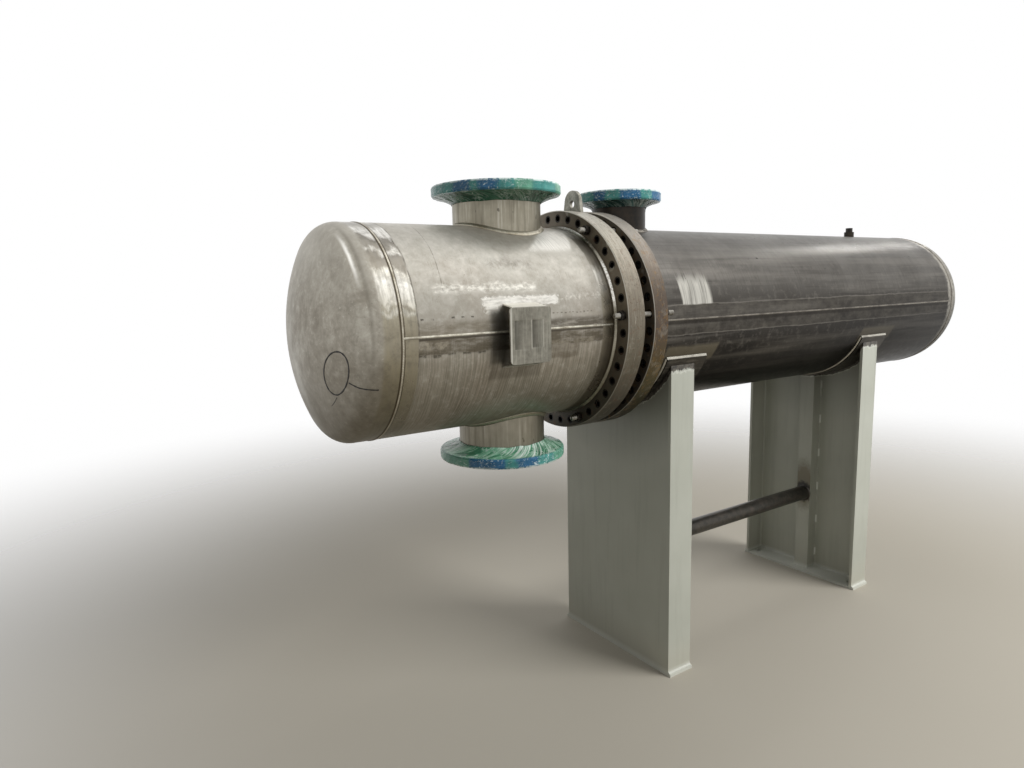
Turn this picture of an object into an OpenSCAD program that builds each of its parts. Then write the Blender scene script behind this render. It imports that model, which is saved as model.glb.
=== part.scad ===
// Shell and tube heat exchanger on two tall saddles, millimetres, +Z up.
// The axis runs along X: the channel is at -X, the shell at +X. The floor is z = 0.

/* [Shell] */
// inside diameter of the shell and of the channel
vessel_bore = 700; // [560:1:860]
// wall thickness of the shell
shell_wall = 12; // [8:1:20]
// length of the shell barrel between body flange and rear head
shell_length = 2305; // [1800:5:3200]
// height of the axis above the floor
axis_height = 1478; // [1300:1:1700]

/* [Channel] */
// wall thickness of the channel
channel_wall = 8; // [6:1:16]
// length of the channel barrel between head and body flange
channel_length = 827; // [700:1:1100]

/* [Heads] */
// straight flange of the channel head
channel_head_straight = 60; // [20:1:90]
// straight flange of the rear head
rear_head_straight = 25; // [15:1:60]
// knuckle radius as a part of the head's diameter
knuckle_ratio = 0.1; // [0.06:0.005:0.154]

/* [Body flanges] */
// width of a body flange outside the shell
flange_ring = 63; // [60:1:110]
// bevel on the edges of a body flange
flange_bevel = 3; // [1:0.5:6]
// thickness of the channel body flange
channel_flange_thick = 80; // [50:1:100]
// thickness of the shell body flange
shell_flange_thick = 69; // [50:1:100]
// gap between the two body flanges
flange_gap = 48; // [40:1:70]
// distance of the bolt circle from the flange's edge
bolt_edge = 30; // [24:1:34]
// number of bolt holes
bolt_holes = 40; // [32:4:48]
// diameter of a bolt hole
bolt_hole_d = 22; // [18:1:28]
// clearance between the tube sheet's edge and the bolt holes
tube_sheet_clear = 12; // [4:1:20]

/* [Temporary studs] */
// diameter of a stud
stud_d = 20; // [16:1:24]
// length of a stud
stud_length = 290; // [260:1:360]
// width of a nut across its flats
nut_flats = 32; // [27:1:41]
// height of a nut
nut_height = 18; // [14:1:26]
// play between the nut and the flange
nut_play = 0; // [0:0.1:1]

/* [Channel nozzles] */
// outside diameter of a channel nozzle neck
channel_neck_od = 324; // [219:1:356]
// wall thickness of a channel nozzle neck
channel_neck_wall = 10; // [6:1:16]
// outside diameter of a channel nozzle flange
channel_nozzle_flange_od = 470; // [464:1:520]
// thickness of a channel nozzle flange
channel_nozzle_flange_thick = 26; // [20:1:44]
// height of a channel nozzle's face above the channel
channel_nozzle_rise = 136; // [110:1:220]
// distance of the nozzle axis from the body flange
channel_nozzle_setback = 261; // [250:1:420]
// bolt circle of a channel nozzle flange
channel_nozzle_bolt_circle = 432; // [380:1:470]
// number of bolt holes in a channel nozzle flange
channel_nozzle_holes = 12; // [8:4:16]
// diameter of a bolt hole in a channel nozzle flange
channel_nozzle_hole_d = 25; // [18:1:32]

/* [Shell nozzle] */
// outside diameter of the shell nozzle neck
shell_neck_od = 219; // [168:1:273]
// wall thickness of the shell nozzle neck
shell_neck_wall = 8; // [6:1:14]
// outside diameter of the shell nozzle flange
shell_nozzle_flange_od = 340; // [300:1:380]
// thickness of the shell nozzle flange
shell_nozzle_flange_thick = 30; // [22:1:40]
// height of the shell nozzle's face above the shell
shell_nozzle_rise = 139; // [110:1:220]
// distance of the nozzle axis from the back of the shell body flange
shell_nozzle_setback = 148; // [146:1:400]
// bolt circle of the shell nozzle flange
shell_nozzle_bolt_circle = 298; // [260:1:330]
// number of bolt holes in the shell nozzle flange
shell_nozzle_holes = 8; // [8:4:12]
// diameter of a bolt hole in the shell nozzle flange
shell_nozzle_hole_d = 22; // [18:1:28]
// width of a nozzle flange's hub at its foot
hub_width = 14; // [8:1:20]

/* [Covers] */
// thickness of the blanking disc on a nozzle
cover_disc_thick = 6; // [3:1:12]
// thickness of the stretched film
film_thick = 2; // [1:0.5:4]
// steepness of the film cone under a nozzle flange
film_slope = 0.4; // [0.3:0.05:0.8]

/* [Welds] */
// height of a weld bead above the plate
bead_height = 3; // [1:0.5:6]
// width of a weld bead
bead_width = 11; // [6:1:24]
// leg of a fillet weld
fillet_leg = 10; // [5:1:16]
// clearance between fitted faces
seat = 0.2; // [0:0.1:0.5]

/* [Nameplate bracket] */
// width of the nameplate bracket along the axis
bracket_width = 158; // [120:1:220]
// height of the nameplate bracket
bracket_height = 180; // [140:1:240]
// distance of the nameplate from the channel
bracket_standoff = 50; // [25:1:60]
// thickness of the bracket sheet
bracket_sheet = 4; // [2:0.5:6]
// radius of the bracket's corners
bracket_corner = 14; // [8:1:24]
// width of the raised border round the bracket's face
bracket_border = 10; // [6:1:16]
// distance of the bracket's middle from the body flange
bracket_setback = 408; // [300:1:500]
// height of the bracket's middle below the axis
bracket_drop = 12; // [-40:1:80]

/* [Lifting lug] */
// width of the lug at its foot
lug_width = 108; // [80:1:140]
// height of the lug above the flange rim
lug_height = 76; // [60:1:110]
// distance of the lug from the top of the rim towards the near side
lug_offset = 38; // [0:1:60]
// distance of the lug's hole below its top
lug_hole_drop = 52; // [36:1:60]
// thickness of the lug
lug_thick = 14; // [8:1:24]
// diameter of the lug's hole
lug_hole_d = 28; // [20:1:40]

/* [Coupling] */
// outside diameter of the threaded coupling
coupling_od = 50; // [30:1:70]
// height of the coupling above the shell
coupling_height = 48; // [20:1:70]
// distance of the coupling from the rear end of the shell barrel
coupling_setback = 431; // [200:1:700]
// width of the plug's hexagon across its flats
plug_flats = 30; // [20:1:46]

/* [Saddles] */
// length of a saddle base across the axis
base_width = 676; // [560:1:760]
// length of a saddle base along the axis
base_length = 130; // [110:1:200]
// thickness of a saddle base
base_thick = 12; // [10:1:25]
// distance between the fronts of the two saddles
saddle_spacing = 1366; // [1000:1:2000]
// thickness of the web and end plates
saddle_plate = 14; // [8:1:20]
// distance of an end plate from the end of the base
end_plate_inset = 12; // [0:1:40]
// width of the centre rib
rib_width = 78; // [50:1:120]
// depth of the centre rib
rib_depth = 66; // [40:1:100]
// wall thickness of the centre rib
rib_wall = 6; // [4:1:10]
// diameter of an anchor hole
anchor_hole_d = 28; // [16:1:34]
// distance between the anchor holes of a saddle
anchor_spacing = 566; // [480:1:580]
// distance of an anchor hole from the open edge of the base
anchor_edge = 58; // [40:1:80]

/* [Wear plates] */
// width of a wear plate along the axis
wear_width = 225; // [160:1:320]
// thickness of a wear plate
wear_thick = 10; // [6:1:16]
// angle of a wear plate round the shell
wear_angle = 131; // [100:1:160]
// distance of the wear plate's middle behind the middle of the saddle
wear_offset = 14; // [-30:1:40]

/* [Brace pipe] */
// outside diameter of the brace pipe
brace_od = 76; // [48:1:100]
// wall thickness of the brace pipe
brace_wall = 5; // [3:0.5:8]
// height of the brace pipe above the floor
brace_height = 440; // [250:1:800]

/* [Hidden] */

shell_r = vessel_bore / 2 + shell_wall;
channel_r = vessel_bore / 2 + channel_wall;
flange_r = shell_r + flange_ring;
bolt_circle = 2 * (flange_r - bolt_edge);
tube_sheet_od = bolt_circle - bolt_hole_d - 2 * tube_sheet_clear;
channel_nozzle_reach = channel_r + channel_nozzle_rise;
shell_nozzle_reach = shell_r + shell_nozzle_rise;
round_fn = 96;

// depth of a dished head above its straight flange
function crown_depth(r) = let (k = 2 * r * knuckle_ratio, c = 2 * r)
  c - sqrt((c - k) * (c - k) - (r - k) * (r - k));

channel_head_total = channel_head_straight + crown_depth(channel_r);
rear_head_total = rear_head_straight + crown_depth(shell_r);
total_length = channel_head_total + channel_length + channel_flange_thick + flange_gap
  + shell_flange_thick + shell_length + rear_head_total;

// stations along the axis, with the object's middle at x = 0
x_channel_end = -total_length / 2 + channel_head_total;
x_channel_face = x_channel_end + channel_length;
x_gap_start = x_channel_face + channel_flange_thick;
x_gap_end = x_gap_start + flange_gap;
x_shell_face = x_gap_end + shell_flange_thick;
x_shell_end = x_shell_face + shell_length;
x_channel_nozzle = x_channel_face - channel_nozzle_setback;
x_shell_nozzle = x_shell_face + shell_nozzle_setback;
x_bracket = x_channel_face - bracket_setback;
x_coupling = x_shell_end - coupling_setback;
x_front_saddle = x_shell_face + 122;
x_rear_saddle = x_front_saddle + saddle_spacing;

channel_nozzle_hub = hub_length(channel_nozzle_flange_od, channel_neck_od);
shell_nozzle_hub = hub_length(shell_nozzle_flange_od, shell_neck_od);
end_plate_y = base_width / 2 - end_plate_inset - saddle_plate;
stud_angles = [58.5, 4.5, -67.5, 148.5, -148.5];
bolt_step = 360 / bolt_holes;
nut_r = nut_flats / sqrt(3);

// turns a solid built along +Z so that it runs along +X from x on the axis
module along_x(x) {
  translate([x, 0, axis_height]) rotate([0, 90, 0]) children();
}

// turns a solid built along +Z so that it runs along -X from x on the axis
module along_minus_x(x) {
  translate([x, 0, axis_height]) rotate([0, -90, 0]) children();
}

// pipe along +Z
module pipe(r, wall, length) {
  difference() {
    cylinder(r = r, h = length, $fn = round_fn);
    translate([0, 0, -1]) cylinder(r = r - wall, h = length + 2, $fn = round_fn);
  }
}

// half outline of a dished head: straight part, knuckle arc and crown arc
module dish_outline(r, inset, straight) {
  k = 2 * r * knuckle_ratio;
  c = 2 * r;
  lean = asin((r - k) / (c - k));
  drop = (c - k) * cos(lean);
  translate([0, 0]) square([r - inset, straight]);
  translate([r - k, straight]) intersection() {
    circle(r = k - inset, $fn = round_fn);
    square([k, k]);
  }
  translate([0, straight]) intersection() {
    translate([0, -drop]) circle(r = c - inset, $fn = round_fn);
    polygon([[0, 0], [r - k, 0], [r - k + k * 1.5 * sin(lean), k * 1.5 * cos(lean)], [0, c]]);
  }
}

// dished head with its mouth at z = 0
module dished_head(r, wall, straight) {
  rotate_extrude($fn = round_fn) difference() {
    dish_outline(r, 0, straight);
    translate([0, -0.01]) dish_outline(r, wall, straight + 0.01);
  }
}

// low bead round a pipe of radius r, middle at z = 0
module girth_bead(r) {
  rotate_extrude($fn = round_fn) intersection() {
    translate([r + bead_height - bead_width * bead_width / (8 * bead_height) - bead_height / 2, 0])
      circle(r = bead_width * bead_width / (8 * bead_height) + bead_height / 2, $fn = round_fn);
    translate([r + seat, -bead_width]) square([bead_width, 2 * bead_width]);
  }
}

// drilled ring with bevelled edges and a middle bore, from z = 0 upward
module drilled_ring(r, bore_r, thick, bevel, circle_d, holes, hole_d, turn) {
  difference() {
    rotate_extrude($fn = round_fn) polygon([[bore_r, 0], [r - bevel, 0], [r, bevel],
      [r, thick - bevel], [r - bevel, thick], [bore_r, thick]]);
    for (i = [0 : holes - 1]) rotate([0, 0, turn + i * 360 / holes])
      translate([circle_d / 2, 0, -1]) cylinder(d = hole_d, h = thick + 2, $fn = 24);
  }
}

// fillet weld ring, leg on the plate at z = 0 and leg on the pipe at radius r
module fillet_ring(r, leg) {
  rotate_extrude($fn = round_fn)
    polygon([[r + seat, seat], [r + leg, seat], [r + leg * 0.55, leg * 0.5], [r + seat, leg]]);
}

// low straight bead along the near side of a pipe of radius r
module seam_bead(x, r, length) {
  translate([x, -r - seat, axis_height]) rotate([90, 0, 90]) linear_extrude(length)
    polygon([[0, -bead_width / 2], [0, bead_width / 2], [-bead_height * 0.6, bead_width * 0.3],
      [-bead_height * 0.8, 0], [-bead_height * 0.6, -bead_width * 0.3]]);
}

module channel_head() {
  color([0.52, 0.50, 0.44]) along_minus_x(x_channel_end)
    dished_head(channel_r, channel_wall, channel_head_straight);
}

module channel_head_weld() {
  color([0.70, 0.69, 0.66]) along_x(x_channel_end) girth_bead(channel_r);
}

module channel_barrel() {
  color([0.60, 0.58, 0.53]) difference() {
    along_x(x_channel_end) pipe(channel_r, channel_wall, channel_length + channel_flange_thick);
    translate([x_channel_nozzle, 0, 0])
      cylinder(d = channel_neck_od + 2 * seat, h = 2 * axis_height, $fn = round_fn);
  }
}

module channel_seam_weld() {
  color([0.68, 0.66, 0.60])
    seam_bead(x_channel_end + bead_width, channel_r, channel_length - bead_width - fillet_leg * 1.5);
}

module channel_flange() {
  color([0.33, 0.30, 0.26]) along_x(x_channel_face)
    drilled_ring(flange_r, channel_r + seat, channel_flange_thick, flange_bevel, bolt_circle, bolt_holes,
      bolt_hole_d, bolt_step / 2);
}

module channel_flange_weld() {
  color([0.66, 0.65, 0.62]) along_minus_x(x_channel_face) fillet_ring(channel_r, fillet_leg);
}

module lifting_lug() {
  top_r = lug_width * 0.42;
  reach_y = lug_offset + lug_width / 2;
  foot = sqrt(flange_r * flange_r - reach_y * reach_y);
  color([0.52, 0.50, 0.46]) difference() {
    translate([x_gap_start - lug_thick - 1, -lug_offset, axis_height]) rotate([90, 0, 90]) linear_extrude(lug_thick)
      difference() {
        union() {
          translate([0, flange_r + lug_height - top_r]) circle(r = top_r, $fn = 64);
          polygon([[-lug_width / 2, foot - 5], [lug_width / 2, foot - 5],
            [top_r, flange_r + lug_height - top_r], [-top_r, flange_r + lug_height - top_r]]);
        }
        translate([0, flange_r + lug_height - lug_hole_drop]) circle(d = lug_hole_d, $fn = 32);
      }
    along_x(x_channel_face - 1) cylinder(r = flange_r + seat, h = channel_flange_thick + 2, $fn = round_fn);
  }
}

// height of the film cone between a nozzle's neck and the edge of its flange
function film_fall(od, neck_od) = (od - neck_od) / 2 * film_slope;

// length of a nozzle flange's hub, which ends inside the film cone
function hub_length(od, neck_od) = film_fall(od, neck_od) * 0.75;

// neck of a nozzle that stands on a pipe of radius r, from the pipe up to the hub of its flange
module neck(x, up, od, wall, pipe_r, pipe_wall, reach, thick, hub) {
  translate([x, 0, axis_height]) rotate([up ? 0 : 180, 0, 0]) difference() {
    cylinder(d = od, h = reach - thick - hub, $fn = round_fn);
    translate([0, 0, -1]) cylinder(d = od - 2 * wall, h = reach + 2, $fn = round_fn);
    translate([-od, 0, 0]) rotate([0, 90, 0])
      cylinder(r = pipe_r - pipe_wall, h = 2 * od, $fn = round_fn);
  }
}

// weld bead round the foot of a nozzle: a short collar cut to the pipe's round
module neck_weld(x, up, od, pipe_r) {
  translate([x, 0, axis_height]) rotate([up ? 0 : 180, 0, 0]) difference() {
    intersection() {
      cylinder(d = od + 2 * fillet_leg, h = pipe_r + 3 * fillet_leg, $fn = round_fn);
      translate([-od, 0, 0]) rotate([0, 90, 0]) cylinder(r = pipe_r + fillet_leg * 0.8, h = 2 * od, $fn = round_fn);
    }
    translate([0, 0, -1]) cylinder(d = od + 2 * seat, h = pipe_r * 2, $fn = round_fn);
    translate([-od, 0, 0]) rotate([0, 90, 0]) cylinder(r = pipe_r + seat, h = 2 * od, $fn = round_fn);
  }
}

// drilled flange with a tapered hub at the end of a nozzle
module nozzle_flange(x, up, od, neck_od, wall, thick, reach, hub, circle_d, holes, hole_d) {
  bore_r = neck_od / 2 - wall;
  translate([x, 0, axis_height]) rotate([up ? 0 : 180, 0, 0]) translate([0, 0, reach - thick]) union() {
    drilled_ring(od / 2, bore_r, thick, 1, circle_d, holes, hole_d, 180 / holes);
    rotate_extrude($fn = round_fn) polygon([[bore_r, -hub], [neck_od / 2, -hub],
      [neck_od / 2 + hub_width, 0], [neck_od / 2 + hub_width, 0.5], [bore_r, 0.5]]);
  }
}

// blanking disc and stretched film: rim, face and a cone back to the neck
module nozzle_cover(x, up, od, neck_od, thick, reach) {
  slope = film_fall(od, neck_od);
  translate([x, 0, axis_height]) rotate([up ? 0 : 180, 0, 0]) {
    rotate_extrude($fn = round_fn) polygon([
      [0, reach + seat], [0, reach + cover_disc_thick],
      [od / 2 + film_thick, reach + cover_disc_thick],
      [od / 2 + film_thick, reach - thick - film_thick],
      [neck_od / 2 + film_thick + seat, reach - thick - slope],
      [neck_od / 2 + seat, reach - thick - slope],
      [neck_od / 2 + seat, reach - thick - slope + film_thick],
      [od / 2 + seat, reach - thick - seat],
      [od / 2 + seat, reach + seat]]);
  }
}

module top_nozzle_neck() {
  color([0.60, 0.57, 0.50]) neck(x_channel_nozzle, true, channel_neck_od, channel_neck_wall, channel_r,
    channel_wall, channel_nozzle_reach, channel_nozzle_flange_thick, channel_nozzle_hub);
}

module top_nozzle_weld() {
  color([0.62, 0.60, 0.54]) neck_weld(x_channel_nozzle, true, channel_neck_od, channel_r);
}

module top_nozzle_flange() {
  color([0.55, 0.54, 0.50]) nozzle_flange(x_channel_nozzle, true, channel_nozzle_flange_od,
    channel_neck_od, channel_neck_wall, channel_nozzle_flange_thick, channel_nozzle_reach, channel_nozzle_hub,
    channel_nozzle_bolt_circle, channel_nozzle_holes, channel_nozzle_hole_d);
}

module top_nozzle_cover() {
  color([0.25, 0.42, 0.35]) nozzle_cover(x_channel_nozzle, true, channel_nozzle_flange_od, channel_neck_od,
    channel_nozzle_flange_thick, channel_nozzle_reach);
}

module bottom_nozzle_neck() {
  color([0.58, 0.55, 0.48]) neck(x_channel_nozzle, false, channel_neck_od, channel_neck_wall, channel_r,
    channel_wall, channel_nozzle_reach, channel_nozzle_flange_thick, channel_nozzle_hub);
}

module bottom_nozzle_weld() {
  color([0.62, 0.60, 0.54]) neck_weld(x_channel_nozzle, false, channel_neck_od, channel_r);
}

module bottom_nozzle_flange() {
  color([0.55, 0.54, 0.50]) nozzle_flange(x_channel_nozzle, false, channel_nozzle_flange_od,
    channel_neck_od, channel_neck_wall, channel_nozzle_flange_thick, channel_nozzle_reach, channel_nozzle_hub,
    channel_nozzle_bolt_circle, channel_nozzle_holes, channel_nozzle_hole_d);
}

module bottom_nozzle_cover() {
  color([0.30, 0.46, 0.38]) nozzle_cover(x_channel_nozzle, false, channel_nozzle_flange_od, channel_neck_od,
    channel_nozzle_flange_thick, channel_nozzle_reach);
}

// flat outline with round corners about the middle
module rounded_outline(width, height, corner) {
  square([width - 2 * corner, height], center = true);
  square([width, height - 2 * corner], center = true);
  for (sx = [-1, 1], sz = [-1, 1]) translate([sx * (width / 2 - corner), sz * (height / 2 - corner)])
    circle(r = corner, $fn = 32);
}

// stand-off that carries the nameplate: face with a raised border, top sheet and bottom sheet square to the barrel
module nameplate_bracket() {
  depth = bracket_standoff + channel_r * 0.3;
  face_y = channel_r + bracket_standoff;
  color([0.45, 0.44, 0.38]) difference() {
    translate([x_bracket, -channel_r - bracket_standoff, axis_height - bracket_drop]) {
      translate([0, bracket_sheet, 0]) rotate([90, 0, 0]) linear_extrude(bracket_sheet)
        rounded_outline(bracket_width, bracket_height, bracket_corner);
      translate([0, 0.5, 0]) rotate([90, 0, 0]) linear_extrude(bracket_sheet * 0.5 + 0.5) difference() {
        rounded_outline(bracket_width, bracket_height, bracket_corner);
        rounded_outline(bracket_width - 2 * bracket_border, bracket_height - 2 * bracket_border,
          bracket_corner - bracket_border * 0.6);
      }
      for (sz = [-1, 1]) translate([-bracket_width / 2 + bracket_corner, 0.5,
        sz * (bracket_height / 2 - bracket_sheet / 2 - 1.2) - bracket_sheet / 2]) rotate([90, 0, 90])
        linear_extrude(bracket_width - 2 * bracket_corner) let (rise = depth / face_y * (sz * bracket_height / 2 - bracket_drop))
          polygon([[0, 0], [depth, rise], [depth, rise + bracket_sheet], [0, bracket_sheet]]);
    }
    along_x(x_channel_end) cylinder(r = channel_r + seat, h = channel_length, $fn = round_fn);
  }
}

// nameplate inside the border, with two long recesses
module nameplate() {
  width = bracket_width - 2 * bracket_border - 8;
  height = bracket_height - 2 * bracket_border - 8;
  color([0.62, 0.61, 0.57]) translate([x_bracket, -channel_r - bracket_standoff - seat, axis_height - bracket_drop])
    rotate([90, 0, 0]) difference() {
      linear_extrude(1.8) rounded_outline(width, height, bracket_corner * 0.6);
      for (sx = [-1, 1]) translate([sx * width * 0.24 - width * 0.15, -height * 0.34, 0.9])
        cube([width * 0.3, height * 0.68, 2]);
    }
}

module tube_sheet() {
  color([0.10, 0.09, 0.08]) along_x(x_gap_start)
    cylinder(d = tube_sheet_od, h = flange_gap, $fn = round_fn);
}

module body_studs() {
  color([0.40, 0.39, 0.37])
    for (a = stud_angles) along_x(x_gap_start + flange_gap / 2 - stud_length / 2)
      rotate([0, 0, 90 - a]) translate([0, -bolt_circle / 2, 0])
        cylinder(d = stud_d, h = stud_length, $fn = 32);
}

// hexagon nut with a clear hole
module hex_nut() {
  difference() {
    cylinder(r = nut_r, h = nut_height, $fn = 6);
    translate([0, 0, -1]) cylinder(d = stud_d + 2 * seat, h = nut_height + 2, $fn = 32);
  }
}

module body_nuts() {
  color([0.20, 0.19, 0.18])
    for (a = stud_angles) {
      along_x(x_channel_face - nut_height - nut_play) rotate([0, 0, 90 - a])
        translate([0, -bolt_circle / 2, 0]) hex_nut();
      along_x(x_shell_face + nut_play) rotate([0, 0, 90 - a])
        translate([0, -bolt_circle / 2, 0]) hex_nut();
    }
}

module shell_flange() {
  color([0.40, 0.36, 0.31]) along_x(x_gap_end)
    drilled_ring(flange_r, shell_r + seat, shell_flange_thick, flange_bevel, bolt_circle, bolt_holes,
      bolt_hole_d, bolt_step / 2);
}

module shell_flange_weld() {
  color([0.52, 0.50, 0.46]) along_x(x_shell_face) fillet_ring(shell_r, fillet_leg);
}

module shell_barrel() {
  color([0.42, 0.41, 0.39]) difference() {
    along_x(x_gap_end) pipe(shell_r, shell_wall, shell_length + shell_flange_thick);
    translate([x_shell_nozzle, 0, axis_height])
      cylinder(d = shell_neck_od + 2 * seat, h = axis_height, $fn = round_fn);
    translate([x_coupling, 0, axis_height])
      cylinder(d = coupling_od / 2, h = axis_height, $fn = 32);
  }
}

module shell_seam_weld() {
  color([0.52, 0.51, 0.49])
    seam_bead(x_shell_face + fillet_leg * 1.5, shell_r, shell_length - bead_width - fillet_leg * 1.5);
}

module shell_nozzle_neck() {
  color([0.35, 0.33, 0.30]) neck(x_shell_nozzle, true, shell_neck_od, shell_neck_wall, shell_r,
    shell_wall, shell_nozzle_reach, shell_nozzle_flange_thick, shell_nozzle_hub);
}

module shell_nozzle_weld() {
  color([0.36, 0.34, 0.31]) neck_weld(x_shell_nozzle, true, shell_neck_od, shell_r);
}

module shell_nozzle_flange() {
  color([0.35, 0.33, 0.30]) nozzle_flange(x_shell_nozzle, true, shell_nozzle_flange_od,
    shell_neck_od, shell_neck_wall, shell_nozzle_flange_thick, shell_nozzle_reach, shell_nozzle_hub,
    shell_nozzle_bolt_circle, shell_nozzle_holes, shell_nozzle_hole_d);
}

module shell_nozzle_cover() {
  color([0.16, 0.33, 0.38]) nozzle_cover(x_shell_nozzle, true, shell_nozzle_flange_od, shell_neck_od,
    shell_nozzle_flange_thick, shell_nozzle_reach);
}

module vent_coupling() {
  color([0.20, 0.19, 0.18]) translate([x_coupling, 0, axis_height]) difference() {
    cylinder(d = coupling_od, h = shell_r + coupling_height - 22, $fn = 48);
    translate([0, 0, -1]) cylinder(d = coupling_od / 2, h = 2 * shell_r, $fn = 32);
    translate([-coupling_od, 0, 0]) rotate([0, 90, 0]) cylinder(r = shell_r + seat, h = 2 * coupling_od, $fn = round_fn);
  }
}

module vent_plug() {
  color([0.30, 0.28, 0.26]) translate([x_coupling, 0, axis_height + shell_r + coupling_height - 22]) union() {
    cylinder(r = plug_flats / sqrt(3), h = 22, $fn = 6);
    translate([0, 0, -18]) cylinder(d = coupling_od / 2 - 2 * seat, h = 19, $fn = 32);
  }
}

module rear_head_weld() {
  color([0.50, 0.49, 0.46]) along_x(x_shell_end) girth_bead(shell_r);
}

module rear_head() {
  color([0.48, 0.47, 0.45]) along_x(x_shell_end) dished_head(shell_r, shell_wall, rear_head_straight);
}

// base plate of a saddle with its two anchor holes, front edge at x
module saddle_base(x, holes_x) {
  color([0.62, 0.65, 0.60]) difference() {
    translate([x, -base_width / 2, 0]) cube([base_length, base_width, base_thick]);
    for (sy = [-1, 1]) translate([holes_x, sy * anchor_spacing / 2, -1])
      cylinder(d = anchor_hole_d, h = base_thick + 2, $fn = 32);
  }
}

// space above the outside of a wear plate, which cuts the tops of the saddle plates
module wear_space() {
  along_x(x_shell_face) cylinder(r = shell_r + wear_thick + 2 * seat, h = shell_length, $fn = round_fn);
}

// web of a saddle between its end plates
module saddle_web(x) {
  color([0.60, 0.63, 0.58]) difference() {
    translate([x, -end_plate_y, base_thick]) cube([saddle_plate, 2 * end_plate_y, axis_height - base_thick]);
    wear_space();
  }
}

// upright end plate of a saddle, side -1 near and +1 far
module saddle_end(x, side) {
  color([0.66, 0.69, 0.64]) difference() {
    translate([x, side > 0 ? end_plate_y : -end_plate_y - saddle_plate, base_thick])
      cube([base_length, saddle_plate, axis_height - base_thick - shell_r * 0.4]);
    wear_space();
  }
}

// box-section centre rib of a saddle
module saddle_rib(x) {
  color([0.60, 0.62, 0.57]) difference() {
    translate([x, -rib_width / 2, base_thick]) cube([rib_depth, rib_width, axis_height - base_thick]);
    translate([x + rib_wall, -rib_width / 2 + rib_wall, base_thick - 1])
      cube([rib_depth - 2 * rib_wall, rib_width - 2 * rib_wall, axis_height]);
    wear_space();
  }
}

// curved wear plate round the lower part of the shell
module wear_plate(x) {
  half = wear_angle / 2;
  reach = 2 * shell_r;
  color([0.45, 0.44, 0.40]) difference() {
    along_x(x) pipe(shell_r + wear_thick + seat, wear_thick, wear_width);
    translate([x - 1, 0, axis_height]) rotate([90, 0, 90]) linear_extrude(wear_width + 2)
      polygon([[0, 0], [reach * sin(half), -reach * cos(half)], [reach, reach], [-reach, reach],
        [-reach * sin(half), -reach * cos(half)]]);
  }
}

module front_base() {
  saddle_base(x_front_saddle, x_front_saddle + base_length - anchor_edge);
}

module front_web() {
  saddle_web(x_front_saddle);
}

module front_near_plate() {
  saddle_end(x_front_saddle, -1);
}

module front_far_plate() {
  saddle_end(x_front_saddle, 1);
}

module front_rib() {
  saddle_rib(x_front_saddle + saddle_plate);
}

module front_wear_plate() {
  wear_plate(x_front_saddle + base_length / 2 - wear_width / 2 + wear_offset);
}

module rear_base() {
  saddle_base(x_rear_saddle, x_rear_saddle + anchor_edge);
}

module rear_web() {
  saddle_web(x_rear_saddle + base_length - saddle_plate);
}

module rear_near_plate() {
  saddle_end(x_rear_saddle, -1);
}

module rear_far_plate() {
  saddle_end(x_rear_saddle, 1);
}

module rear_rib() {
  saddle_rib(x_rear_saddle + base_length - saddle_plate - rib_depth);
}

module rear_wear_plate() {
  wear_plate(x_rear_saddle + base_length / 2 - wear_width / 2 + wear_offset);
}

module brace_pipe() {
  start = x_front_saddle + saddle_plate + rib_depth;
  stop = x_rear_saddle + base_length - saddle_plate - rib_depth;
  color([0.12, 0.11, 0.11]) translate([start, 0, brace_height]) rotate([0, 90, 0])
    pipe(brace_od / 2, brace_wall, stop - start);
}

channel_head();
channel_head_weld();
channel_barrel();
channel_seam_weld();
channel_flange();
channel_flange_weld();
lifting_lug();
top_nozzle_neck();
top_nozzle_weld();
top_nozzle_flange();
top_nozzle_cover();
bottom_nozzle_neck();
bottom_nozzle_weld();
bottom_nozzle_flange();
bottom_nozzle_cover();
nameplate_bracket();
nameplate();
tube_sheet();
body_studs();
body_nuts();
shell_flange();
shell_flange_weld();
shell_barrel();
shell_seam_weld();
shell_nozzle_neck();
shell_nozzle_weld();
shell_nozzle_flange();
shell_nozzle_cover();
vent_coupling();
vent_plug();
rear_head_weld();
rear_head();
front_base();
front_web();
front_near_plate();
front_far_plate();
front_rib();
front_wear_plate();
rear_base();
rear_web();
rear_near_plate();
rear_far_plate();
rear_rib();
rear_wear_plate();
brace_pipe();
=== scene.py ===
"""Looks of a shell and tube heat exchanger: finishes, weld beads, threaded studs and film covers round the
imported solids.

Everything is in metres in the part's own frame: +X runs from the channel head to the rear head, +Z is up.
"""

import math
from functools import partial

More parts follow.
